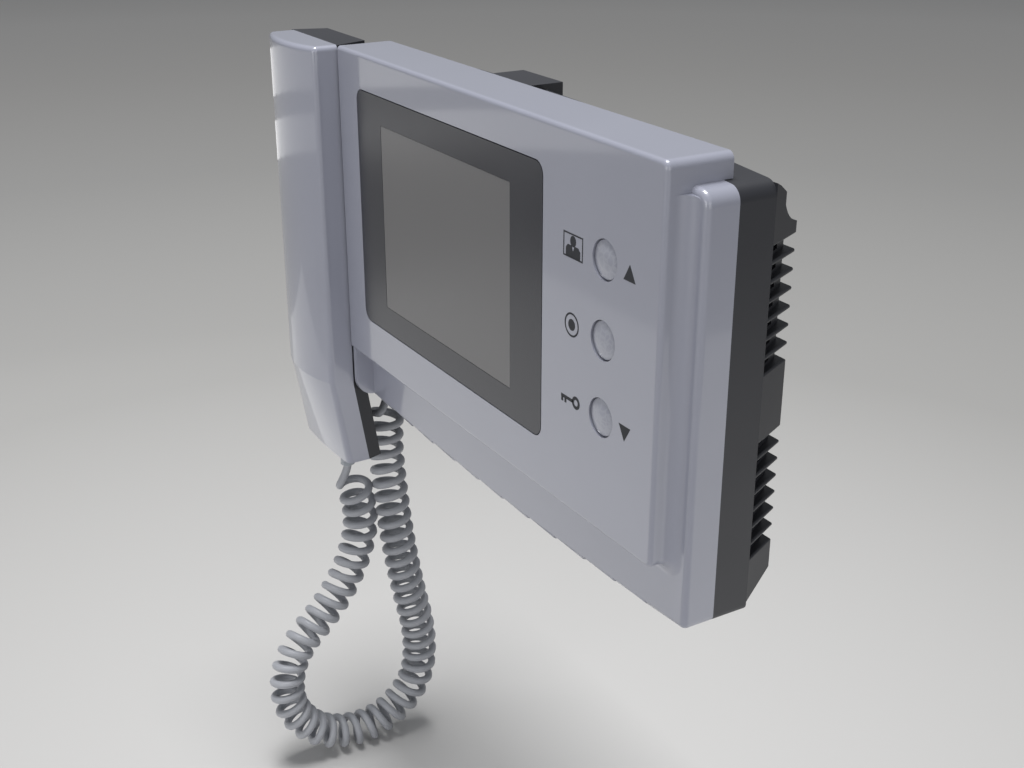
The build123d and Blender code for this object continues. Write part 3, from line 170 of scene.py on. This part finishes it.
def carried_frames(line, count):
    """Places along a line, each with two directions across it that don't twist."""
    shares = [step / count for step in range(count + 1)]
    stops = [coil_length * (share + PULL * math.sin(math.pi * share)) for share in shares]
    places, walked = [], 0.0
    for a, b in zip(line, line[1:]):
        run = (b - a).length
        while run and len(places) <= count and walked + run >= stops[len(places)] - ROUNDING:
            places.append(a.lerp(b, (stops[len(places)] - walked) / run))
        walked += run
    frames = []
    side = Vector((1, 0, 0))
    for i, place in enumerate(places):
        ahead = (places[min(i + 1, len(places) - 1)] - places[max(i - 1, 0)]).normalized()
        side = (side - ahead * side.dot(ahead)).normalized()
        frames.append((place, side.copy(), ahead.cross(side)))
    return frames


def tail(plug, first, second):
    """A bend from a plug's mouth to the spring, which it meets in line with the first two points."""
    way = (second - first).normalized()
    handles = (plug, plug + Vector((0, 0, -PLUG_HANDLE)), first - COIL_HANDLE * way, first)
    bend = []
    for step in range(TAIL_STEPS):
        t = step / TAIL_STEPS
        shares = ((1 - t) ** 3, 3 * t * (1 - t) ** 2, 3 * t**2 * (1 - t), t**3)
        bend.append(sum((share * handle for share, handle in zip(shares, handles)), Vector()))
    return bend


def wire_points():
    """The middle of the wire, from the handset's plug round the spring to the plug in the housing."""
    frames = carried_frames(coil_line, round(TURNS * STEPS_PER_TURN))
    skip = round(TAIL_TURNS * STEPS_PER_TURN)
    points = []
    for i, (place, side, other) in list(enumerate(frames))[skip:-skip]:
        angle = 2 * math.pi * (i / STEPS_PER_TURN + FIRST_ANGLE)
        points.append(place + COIL_RADIUS * (math.cos(angle) * side + math.sin(angle) * other))
    start = tail(plug_mouth(handset_plug), points[0], points[1])
    end = tail(plug_mouth(base_plug), points[-1], points[-2])
    return start + points + end[::-1]


wire_line = wire_points()
wire_length = sum((b - a).length for a, b in zip(wire_line, wire_line[1:]))
print(f"{TURNS} turns take {wire_length:.2f} m of wire")

# %% [markdown]
# A curve with a round bevel is the quickest way to a tube: Blender puts a ring of corners round each of
# the wire's points. The curve is then made a mesh.
# %% Give the wire its thickness
WIRE_SIDES = 16
MERGE = 0.01 * MM  # corners closer than this are one


def tube_mesh(name, points, thickness, sides):
    """A round tube along points that lie close together, with closed ends."""
    curve = bpy.data.curves.new(name, "CURVE")
    curve.dimensions = "3D"
    curve.bevel_depth = thickness / 2
    curve.bevel_resolution = sides // 4 - 1
    curve.use_fill_caps = True
    spline = curve.splines.new("POLY")
    spline.points.add(len(points) - 1)
    for control, place in zip(spline.points, points):
        control.co = (*place, 1)
    guide = bpy.data.objects.new(name + "_guide", curve)
    bpy.context.collection.objects.link(guide)
    mesh = bpy.data.meshes.new_from_object(guide)
    mesh.name = name
    bpy.data.objects.remove(guide)
    piece = bpy.data.objects.new(name, mesh)
    bpy.context.collection.objects.link(piece)
    return piece


def pick_only(*objects):
    """Select these objects and nothing else."""
    bpy.ops.object.select_all(action="DESELECT")
    for item in objects:
        item.select_set(True)
    bpy.context.view_layer.objects.active = objects[0]


cord = tube_mesh("curly_cord_wire", wire_line, WIRE, WIRE_SIDES)
pick_only(cord)
bpy.ops.object.mode_set(mode="EDIT")
bpy.ops.mesh.select_all(action="SELECT")
bpy.ops.mesh.remove_doubles(threshold=MERGE)
bpy.ops.mesh.normals_make_consistent(inside=False)
bpy.ops.object.mode_set(mode="OBJECT")
bpy.ops.object.shade_smooth()
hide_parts("curly_cord")
print("cord corners:", len(cord.data.vertices))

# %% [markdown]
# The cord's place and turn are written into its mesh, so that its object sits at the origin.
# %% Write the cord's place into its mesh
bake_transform(cord)

# %% [markdown]
# ## Finishes
#
# A finish is a small network of nodes. Its maths reads best as plain expressions, so `Flow` wraps one
# socket and turns +, -, * and / into Math nodes. `Finish` holds one material: `node` adds any other
# node, with its settings first and its inputs second, and constants go straight on the shader. All
# patterns are worked out from the point on the object, so no part needs to be unwrapped.
# %% Helpers for materials


class Flow:
    """A number that varies over a surface."""

    def __init__(self, socket):
        self.socket = socket
        self.tree = socket.id_data

    def maths(self, operation, *values):
        node = self.tree.nodes.new("ShaderNodeMath")
        node.operation = operation
        for place, value in enumerate(values):
            connect(self.tree, node.inputs[place], value)
        return Flow(node.outputs[0])

    def __add__(self, other):
        return self.maths("ADD", self, other)

    def __rsub__(self, other):
        return self.maths("SUBTRACT", other, self)

    def __mul__(self, other):
        return self.maths("MULTIPLY", self, other)

    def __truediv__(self, other):
        return self.maths("DIVIDE", self, other)

    __radd__ = __add__
    __rmul__ = __mul__


def connect(tree, socket, value):
    """Link a flow to a socket, or write a plain value on it."""
    if isinstance(value, Flow):
        tree.links.new(value.socket, socket)
    else:
        socket.default_value = value


def tone(red, green, blue):
    """A colour as it looks on a screen, 0 to 255, as the light values that a shader takes."""
    shares = [value / 255 for value in (red, green, blue)]
    linear = [s / 12.92 if s < 0.04 else ((s + 0.055) / 1.055) ** 2.4 for s in shares]
    return (*linear, 1.0)


class Finish:
    """A material with one Principled shader."""

    def __init__(self, name, **constants):
        self.material = bpy.data.materials.new(name)
        self.material.use_nodes = True
        self.tree = self.material.node_tree
        self.shader = next(n for n in self.tree.nodes if n.type == "BSDF_PRINCIPLED")
        self.drive(**constants)

    def node(self, kind, settings=None, inputs=None, output=0):
        node = self.tree.nodes.new(kind)
        for key, value in (settings or {}).items():
            if key == "stops":
                set_stops(node.color_ramp, value)
            else:
                setattr(node, key, value)
        for socket, value in (inputs or {}).items():
            connect(self.tree, node.inputs[socket], value)
        return Flow(node.outputs[output])

    def place(self):
        """The point on the object, in metres."""
        return self.node("ShaderNodeTexCoord", output="Object")

    def noise(self, scale, detail=2.0, roughness=0.5):
        sockets = {"Vector": self.place(), "Scale": scale, "Detail": detail, "Roughness": roughness}
        return self.node("ShaderNodeTexNoise", inputs=sockets)

    def shades(self, mask, *colours):
        """A colour by a mask from 0 to 1, through evenly spaced colours."""
        stops = [(i / (len(colours) - 1), colour) for i, colour in enumerate(colours)]
        return self.node("ShaderNodeValToRGB", {"stops": stops}, {"Fac": mask})

    def drive(self, **sockets):
        """Set or link the shader's sockets by name."""
        for socket, value in sockets.items():
            connect(self.tree, self.shader.inputs[socket.replace("_", " ")], value)

    def bump(self, height, distance, strength=1.0):
        sockets = {"Height": height, "Distance": distance, "Strength": strength}
        self.drive(Normal=self.node("ShaderNodeBump", inputs=sockets))


def set_stops(ramp, stops):
    while len(ramp.elements) < len(stops):
        ramp.elements.new(0.5)
    for element, (place, colour) in zip(ramp.elements, stops):
        element.position = place
        element.color = colour


FINISHES = {}


def keep_finish(slot, finish):
    """Keep a finish for the parts that the record gives this slot."""
    FINISHES[slot] = finish
    print(f"{slot}: {finish.material.name}, {len(finish.tree.nodes)} nodes")


print("a screen's middle grey is", round(tone(128, 128, 128)[0], 3), "of its white's light")

# %% [markdown]
# ## The silver lacquer
#
# The cover and the handset's front are moulded in ABS and sprayed with a cool silver-grey lacquer.
# Lacquer flows before it dries, so its gloss is slightly uneven, and the pigment is a little cloudy. A
# thin coat over a soft base gives the broad sheen with a crisper reflection on top.
# %% Silver lacquer
silver = Finish("silver_lacquer", IOR=1.5, Coat_Roughness=0.06)
silver_cloud = silver.noise(18, 3, 0.55)
silver.drive(
    Base_Color=silver.shades(silver_cloud, tone(144, 146, 159), tone(150, 152, 165)),
    Roughness=0.30 + 0.08 * silver_cloud,
    Coat_Weight=0.85 + 0.1 * silver_cloud,
)
silver.bump(silver.noise(260), 0.00003, 0.2)
keep_finish("silver_gloss", silver)

# %% [markdown]
# ## Dark moulded plastic
#
# The housing behind the cover is charcoal ABS straight from a textured mould. Fine grain breaks up its
# highlights, and handling leaves slightly smoother patches. Real grain would take millions of faces, so
# a bump from fine noise stands for it.
# %% Charcoal plastic
charcoal = Finish("charcoal_moulding", IOR=1.5)
charcoal_cloud = charcoal.noise(22, 3)
charcoal.drive(
    Base_Color=charcoal.shades(charcoal_cloud, tone(38, 39, 44), tone(45, 46, 51)),
    Roughness=0.38 + 0.14 * charcoal_cloud,
)
charcoal.bump(charcoal.noise(1500, 2, 0.6), 0.00006, 0.5)
keep_finish("charcoal_plastic", charcoal)

# %% [markdown]
# ## The screen's surround, window and display
#
# The surround is a dark satin moulding. The window is tinted acrylic, almost flush with it, and the
# display behind it is off, so the pair reads as one calm grey pane. Alpha lets a little of the display
# show through the window, which at this thickness looks the same as refraction and renders faster.
# %% Screen finishes
bezel = Finish("bezel_satin_plastic", IOR=1.5)
bezel_cloud = bezel.noise(30, 3)
bezel.drive(
    Base_Color=bezel.shades(bezel_cloud, tone(41, 42, 49), tone(46, 47, 54)),
    Roughness=0.16 + 0.08 * bezel_cloud,
)
bezel.bump(bezel.noise(1200), 0.00004, 0.35)
keep_finish("bezel_satin", bezel)

window = Finish("window_acrylic_pane", IOR=1.49, Alpha=0.88, Base_Color=tone(113, 112, 113))
window.drive(Roughness=0.2 + 0.06 * window.noise(12))
keep_finish("window_acrylic", window)

display = Finish("display_glass_pane", IOR=1.5)
display_cloud = display.noise(9)
display.drive(
    Base_Color=display.shades(display_cloud, tone(104, 104, 105), tone(116, 115, 114)),
    Roughness=0.35 + 0.1 * display_cloud,
)
keep_finish("display_glass", display)

# %% [markdown]
# ## The buttons
#
# Each button is a shallow dome with a hammered lacquer: pale veins run over a slightly darker ground.
# The distance to the border of a Voronoi cell falls to nothing along the cells' borders, which draws
# the veins, and a noise that shifts the cells keeps them from looking like a tiled floor.
# %% Button lacquer
VEIN_DRIFT = 3 * MM
hammered = Finish(
    "button_hammered_lacquer", IOR=1.5, Metallic=0.1, Coat_Roughness=0.12, Coat_Weight=0.3
)
drift = hammered.node(
    "ShaderNodeTexNoise", inputs={"Vector": hammered.place(), "Scale": 300.0}, output="Color"
)
shifted = hammered.node(
    "ShaderNodeVectorMath",
    {"operation": "MULTIPLY_ADD"},
    {0: drift, 1: (VEIN_DRIFT,) * 3, 2: hammered.place()},
)
border = hammered.node(
    "ShaderNodeTexVoronoi", {"feature": "DISTANCE_TO_EDGE"}, {"Vector": shifted, "Scale": 380.0}
)
veins = 1 - border.maths("MINIMUM", border * 5, 1)
hammered.drive(
    Base_Color=hammered.shades(veins, tone(149, 151, 163), tone(159, 161, 171)),
    Roughness=0.3 + 0.08 * veins,
)
hammered.bump(veins, 0.00001, 0.4)
keep_finish("button_silver", hammered)

# %% [markdown]
# ## The cord's jacket and its plugs
#
# The jacket is soft grey PVC, dull with a faint bloom. The plugs are clear polycarbonate, which looks
# milky where it is thick. They are so small that a lowered Alpha over a pale colour is enough.
# %% Cord finishes
jacket = Finish("cord_pvc_jacket", IOR=1.5)
jacket_cloud = jacket.noise(60, 3)
jacket.drive(
    Base_Color=jacket.shades(jacket_cloud, tone(150, 152, 158), tone(160, 162, 167)),
    Roughness=0.42 + 0.12 * jacket_cloud,
)
jacket.bump(jacket.noise(900), 0.00003, 0.3)
keep_finish("cord_grey", jacket)

plug_clear = Finish("plug_polycarbonate", IOR=1.58, Alpha=0.75)
plug_clear.drive(
    Base_Color=plug_clear.shades(plug_clear.noise(90), tone(150, 156, 164), tone(176, 180, 186)),
    Roughness=0.15 + 0.1 * plug_clear.noise(40),
)
keep_finish("cord_plug_clear", plug_clear)

# %% [markdown]
# ## Small parts and the parts inside
#
# Most of these are hidden, but someone who takes the monitor apart will see them, so each has the
# finish of the real part. Plain mouldings differ only in colour, gloss and grain, so one function
# makes them all, and metal has a function of its own.
# %% Mouldings and metals


def moulding(name, dark, light, gloss, grain, depth):
    """A plain moulded or coated surface with a fine grain."""
    finish = Finish(name, IOR=1.5)
    cloud = finish.noise(35, 3)
    finish.drive(Base_Color=finish.shades(cloud, dark, light), Roughness=gloss + 0.1 * cloud)
    finish.bump(finish.noise(grain), depth, 0.4)
    return finish


def plated(name, dark, light, gloss):
    """Zinc plating: bright, a little mottled, with fine drawing lines."""
    finish = Finish(name, Metallic=1.0)
    mottle = finish.noise(120, 3)
    lines = finish.node(
        "ShaderNodeMapping", inputs={"Vector": finish.place(), "Scale": (40.0, 2200.0, 2200.0)}
    )
    scratches = finish.node("ShaderNodeTexNoise", inputs={"Vector": lines, "Scale": 1.0})
    finish.drive(Base_Color=finish.shades(mottle, dark, light), Roughness=gloss + 0.15 * scratches)
    finish.bump(scratches, 0.00002, 0.3)
    return finish


METALS = {
    # slot: (name, dark, light, gloss)
    "zinc_steel": ("zinc_plated_sheet", tone(168, 170, 172), tone(190, 191, 192), 0.3),
    "screw_steel": ("zinc_plated_screw", tone(150, 152, 154), tone(178, 179, 180), 0.26),
}
MOULDINGS = {
    # slot: (name, dark, light, gloss, grain, the grain's depth)
    "black_plastic": ("black_moulding", tone(30, 31, 33), tone(40, 41, 44), 0.35, 1100, 5e-5),
    "white_plastic": ("white_moulding", tone(214, 214, 210), tone(224, 224, 220), 0.4, 900, 4e-5),
    "terminal_green": ("terminal_polyamide", tone(34, 118, 74), tone(44, 132, 86), 0.38, 900, 5e-5),
    "black_foam": ("foam_strip", tone(28, 28, 29), tone(44, 44, 45), 0.85, 700, 3e-4),
    "speaker_paper": ("speaker_paper_cone", tone(58, 55, 52), tone(76, 72, 68), 0.8, 500, 2e-4),
}
for slot, look in METALS.items():
    keep_finish(slot, plated(*look))
for slot, look in MOULDINGS.items():
    keep_finish(slot, moulding(*look))

# %% [markdown]
# A circuit board is green solder mask over copper tracks. The tracks show as slightly paler, raised
# lines. A Voronoi texture measured by blocks gives the right-angled look of routed tracks.
# %% Circuit board
board = Finish("solder_mask_board", IOR=1.5)
tracks = board.node(
    "ShaderNodeTexVoronoi",
    {"feature": "F1", "distance": "CHEBYCHEV"},
    {"Vector": board.place(), "Scale": 260.0},
)
routed = tracks.maths("PINGPONG", tracks, 0.22) * 4
board.drive(
    Base_Color=board.shades(routed, tone(18, 84, 50), tone(38, 122, 74)),
    Roughness=0.28 + 0.1 * board.noise(50),
)
board.bump(routed, 0.00003, 0.4)
keep_finish("circuit_board", board)

# %% [markdown]
# ## Dress the solid parts
#
# The record names the finish that each part needs, so dressing them is one loop.
# %% Dress the solid parts
for part in frame["record"]["subparts"]:
    solid = frame["nodes"][part["node"]]
    finish = FINISHES[part["material_slot"]]
    for slot in solid.material_slots:
        slot.material = finish.material

cord.data.materials.append(jacket.material)

# %% [markdown]
# ## Printed marks
#
# The marks beside the buttons are pad-printed ink, a few hundredths of a millimetre thick. They could
# be painted by a texture, but thin pieces stay sharp however close the camera comes. Each one starts as
# flat circles and rectangles that face the viewer. They are inset or cut in edit mode, joined, and
# given the ink's thickness by a Solidify modifier. Their places come from the buttons that they stand
# beside.
# %% Flat shapes to print with
PANEL_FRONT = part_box("front_cover")[0][1]
INK = 0.04 * MM
FACING = (math.pi / 2, 0, 0)
print(f"the panel's face lies {-PANEL_FRONT / MM:.1f} mm before the wall")


def spot(node):
    """The middle of a node's box, on the panel's face."""
    low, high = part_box(node)
    return Vector(((low[0] + high[0]) / 2, PANEL_FRONT - INK, (low[2] + high[2]) / 2))


def settle(piece):
    """Write a piece's place and turn into its mesh, so that its object sits at the origin."""
    pick_only(piece)
    bpy.ops.object.transform_apply(location=True, rotation=True, scale=True)
    return piece


def disc(centre, width, height, corners=48):
    """A filled ellipse or, with few corners, a polygon with one corner upwards."""
    bpy.ops.object.select_all(action="DESELECT")
    bpy.ops.mesh.primitive_circle_add(
        vertices=corners, radius=0.5, fill_type="NGON", location=centre, rotation=FACING
    )
    piece = bpy.context.object
    piece.scale = (width, height, 1)
    return settle(piece)


def slab(centre, width, height):
    """A filled rectangle."""
    bpy.ops.object.select_all(action="DESELECT")
    bpy.ops.mesh.primitive_plane_add(size=1, location=centre, rotation=FACING)
    piece = bpy.context.object
    piece.scale = (width, height, 1)
    return settle(piece)


def hollow(piece, line):
    """Leave only a line of this width along the edge of a flat shape."""
    pick_only(piece)
    bpy.ops.object.mode_set(mode="EDIT")
    bpy.ops.mesh.select_all(action="SELECT")
    bpy.ops.mesh.inset(thickness=line)
    bpy.ops.mesh.delete(type="FACE")
    bpy.ops.object.mode_set(mode="OBJECT")
    return piece


def cut(piece, place, direction):
    """Take away what lies behind a plane through a place, against its direction."""
    pick_only(piece)
    bpy.ops.object.mode_set(mode="EDIT")
    bpy.ops.mesh.select_all(action="SELECT")
    bpy.ops.mesh.bisect(plane_co=place, plane_no=direction, use_fill=False, clear_inner=True)
    bpy.ops.object.mode_set(mode="OBJECT")
    return piece


def print_mark(name, *shapes):
    """Join flat shapes into one mark, give it the ink's thickness and fix it to the cover."""
    pick_only(*shapes)
    bpy.ops.object.join()
    mark = bpy.context.object
    mark.name = name
    mark.data.name = name
    skin = mark.modifiers.new("ink", "SOLIDIFY")
    skin.thickness = 2 * INK
    skin.offset = -1
    bpy.ops.object.modifier_apply(modifier=skin.name)
    mark.data.materials.clear()
    mark.data.materials.append(ink.material)
    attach(mark, "root")
    print(name, "has", len(mark.data.polygons), "faces")
    return mark


ink = moulding("printed_ink", tone(30, 32, 38), tone(37, 39, 45), 0.6, 1500, 1e-5)

# %% [markdown]
# The marks say: show the visitor, talk, unlock, and more or less. They are the plain symbols that any
# such panel carries.
# %% Print the visitor
LEFT = Vector((-20 * MM, 0, -0.45 * MM))  # from a button's middle to the mark at its left
RIGHT = Vector((15 * MM, 0, -0.45 * MM))  # and to the one at its right
VISITOR_FRAME = (12.8 * MM, 9.3 * MM)
VISITOR_LINE = 0.6 * MM
HEAD = (3.8 * MM, 4.2 * MM)
HEAD_RISE = 1.8 * MM
COAT = (9.4 * MM, 4.3 * MM)
COAT_RISE = 0.5 * MM  # of its hem above the frame's lower edge
SHOULDER_DROP = 1.3 * MM  # at the coat's side, below its top
SHOULDER_SLOPE = 1.6
COLLAR_DEPTH = 2.2 * MM
COLLAR_SLOPE = 0.4
visitor = spot("monitor_button") + LEFT


def coat_half(side):
    """Half of the visitor's coat, with a sloping shoulder and an open collar."""
    quarter = side * COAT[0] / 4
    middle = visitor + Vector((quarter, 0, (COAT[1] - VISITOR_FRAME[1]) / 2 + COAT_RISE))
    half = slab(middle, COAT[0] / 2, COAT[1])
    shoulder = middle + Vector((quarter, 0, COAT[1] / 2 - SHOULDER_DROP))
    cut(half, shoulder, (-side, 0, -SHOULDER_SLOPE))
    collar = middle + Vector((-quarter, 0, COAT[1] / 2 - COLLAR_DEPTH))
    return cut(half, collar, (side, 0, -COLLAR_SLOPE))


print_mark(
    "visitor_mark",
    hollow(slab(visitor, *VISITOR_FRAME), VISITOR_LINE),
    disc(visitor + Vector((0, 0, HEAD_RISE)), *HEAD),
    coat_half(-1),
    coat_half(1),
)

# %% [markdown]
# Talk is a ring with a dot in it. Unlock is a key: a ring for its bow, a shaft, and two teeth below it.
# %% Print the ring and the key
TALK_RING = 9.4 * MM
TALK_LINE = 0.75 * MM
TALK_DOT = 4.5 * MM
talk = spot("talk_button") + LEFT
print_mark(
    "talk_mark", hollow(disc(talk, TALK_RING, TALK_RING), TALK_LINE), disc(talk, TALK_DOT, TALK_DOT)
)

KEY_BOW = 5.2 * MM
KEY_LENGTH = 12.7 * MM
KEY_STROKE = 1.35 * MM
KEY_OVERLAP = 0.6 * MM  # of the shaft on the bow
KEY_TEETH = (0.8 * MM, 3.0 * MM)  # from the shaft's free end to each tooth's middle
TOOTH_LENGTH = 1.7 * MM
TOOTH_DROP = 1.4 * MM
key = spot("unlock_button") + LEFT
key_end = key + Vector(((KEY_LENGTH - KEY_BOW) / 2, 0, 0))
shaft_length = KEY_LENGTH - KEY_BOW + KEY_OVERLAP
shaft_left = key.x - KEY_LENGTH / 2
key_parts = [
    hollow(disc(key_end, KEY_BOW, KEY_BOW), KEY_STROKE),
    slab(Vector((shaft_left + shaft_length / 2, key.y, key.z)), shaft_length, KEY_STROKE),
]
for tooth in KEY_TEETH:
    place = Vector((shaft_left + tooth, key.y, key.z - TOOTH_DROP))
    key_parts.append(slab(place, KEY_STROKE, TOOTH_LENGTH))
print_mark("unlock_mark", *key_parts)

# %% [markdown]
# The arrows are circles with only three corners, and the lower one is turned over.
# %% Print the arrows
ARROW = (8.2 * MM, 8.1 * MM)  # the ellipse that its corners lie on
ARROW_SHIFT = 1 * MM  # evens out the empty part of that ellipse


def arrow(centre, way):
    """A triangle that points up, or down if way is -1."""
    piece = disc(centre + Vector((0, 0, -way * ARROW_SHIFT)), *ARROW, corners=3)
    if way < 0:
        pick_only(piece)
        bpy.ops.object.mode_set(mode="EDIT")
        bpy.ops.mesh.select_all(action="SELECT")
        bpy.ops.transform.rotate(
            value=math.pi, orient_axis="Y", center_override=centre + Vector((0, 0, ARROW_SHIFT)),
        )
        bpy.ops.object.mode_set(mode="OBJECT")
    return piece


print_mark("more_mark", arrow(spot("monitor_button") + RIGHT, 1))
print_mark("less_mark", arrow(spot("unlock_button") + RIGHT, -1))

# %% [markdown]
# ## Studio
#
# The floor lies just under the lowest turn of the cord. It is pale under the monitor, greyest about a
# metre away, and paler again beyond. That stands in for the fall-off of a single big lamp without
# changing how the monitor is lit.
# %% Floor
FLOOR_SIZE = 24
FADE_REACH = 3  # the distance over which the floor's shades follow each other
FLOOR_SHADES = (
    tone(210, 209, 208), tone(169, 168, 166), tone(172, 171, 169), tone(187, 185, 182),
    tone(203, 201, 198),
)
floor_height = frame_box[0][2]
bpy.ops.object.select_all(action="DESELECT")
bpy.ops.mesh.primitive_plane_add(size=FLOOR_SIZE, location=(0, 0, floor_height))
floor = settle(bpy.context.object)
floor.name = "studio_floor"
paper = Finish("studio_paper", Roughness=0.7, IOR=1.3)
distance = paper.node(
    "ShaderNodeVectorMath", {"operation": "LENGTH"}, {0: paper.place()}, output="Value"
)
fade = distance / FADE_REACH
paper.drive(Base_Color=paper.shades(fade.maths("MINIMUM", fade, 1), *FLOOR_SHADES))
floor.data.materials.append(paper.material)
print(f"the floor lies at {floor_height:.3f} m")

# %% [markdown]
# The lamps are big and soft, as in a product studio: one above, one before and one at the right, with
# two low glows that stand in for a bright floor.
# %% Big lamps


def softbox(name, place, target, size, power):
    """An area lamp at a place, aimed at a target, that the camera doesn't see."""
    lamp = bpy.data.lights.new(name, "AREA")
    lamp.shape = "RECTANGLE"
    lamp.size, lamp.size_y = size
    lamp.energy = power
    stand = bpy.data.objects.new(name, lamp)
    stand.location = place
    stand.rotation_euler = (Vector(target) - Vector(place)).to_track_quat("-Z", "Y").to_euler()
    stand.visible_camera = False
    bpy.context.collection.objects.link(stand)


softbox("top_softbox", (-0.1, -0.1, 1.9), (-0.1, -0.1, 0), (0.8, 0.8), 50)
softbox("front_softbox", (0.6, -2.1, 0.25), (0, 0, 0), (1.2, 1.2), 11)
softbox("floor_glow", (-0.475, -0.35, floor_height + MM), (-0.475, -0.35, 1), (0.75, 0.5), 0.5)
softbox("side_softbox", (1.8, -0.5, 0.3), (0, 0, 0), (1.2, 1.2), 6.5)
softbox("right_glow", (0.55, 0.3, floor_height + MM), (0.55, 0.3, 1), (0.6, 0.6), 0.8)

# %% [markdown]
# Two bows of slim lamps stand round the handset's left, one above the other. The lacquer mirrors each
# as a pale band across it. A straight strip would be mirrored as a slanting band in the handset's
# rounded front, and a bow, which keeps the same height all round, gives a level one.
# %% Bows of slim lamps
BOW_CENTRE = Vector((-0.13, -0.1, 0))
BOW_RADIUS = 0.7
BOW_LAMPS = 7
BOW_STEP = math.radians(15.6)
BOW_START = math.radians(158)
BOWS = (
    # name, height of its middle, height of its lamps, power of each
    ("upper", -0.05, 0.046, 0.022),
    ("lower", -0.116, 0.0385, 0.0185),
)
bow_width = 2 * BOW_RADIUS * math.tan(BOW_STEP / 2)
for bow, height, rise, power in BOWS:
    middle = BOW_CENTRE + Vector((0, 0, height))
    for turn in range(BOW_LAMPS):
        angle = BOW_START + turn * BOW_STEP
        place = middle + BOW_RADIUS * Vector((math.cos(angle), math.sin(angle), 0))
        softbox(f"{bow}_strip_{turn + 1}", place, middle, (bow_width, rise), power)
print("lamps:", len(bpy.data.lights))

# %% [markdown]
# A dim, slightly cool sky fills the shadows. Colours are shown as they are, without a film look.
# %% World
SKY = (0.55, 0.57, 0.6, 1)
SKY_STRENGTH = 0.4
world = bpy.data.worlds.new("studio_world")
world.use_nodes = True
background = world.node_tree.nodes["Background"]
background.inputs["Color"].default_value = SKY
background.inputs["Strength"].default_value = SKY_STRENGTH
bpy.context.scene.world = world
bpy.context.scene.view_settings.view_transform = "Standard"
print("the sky's strength is", SKY_STRENGTH)
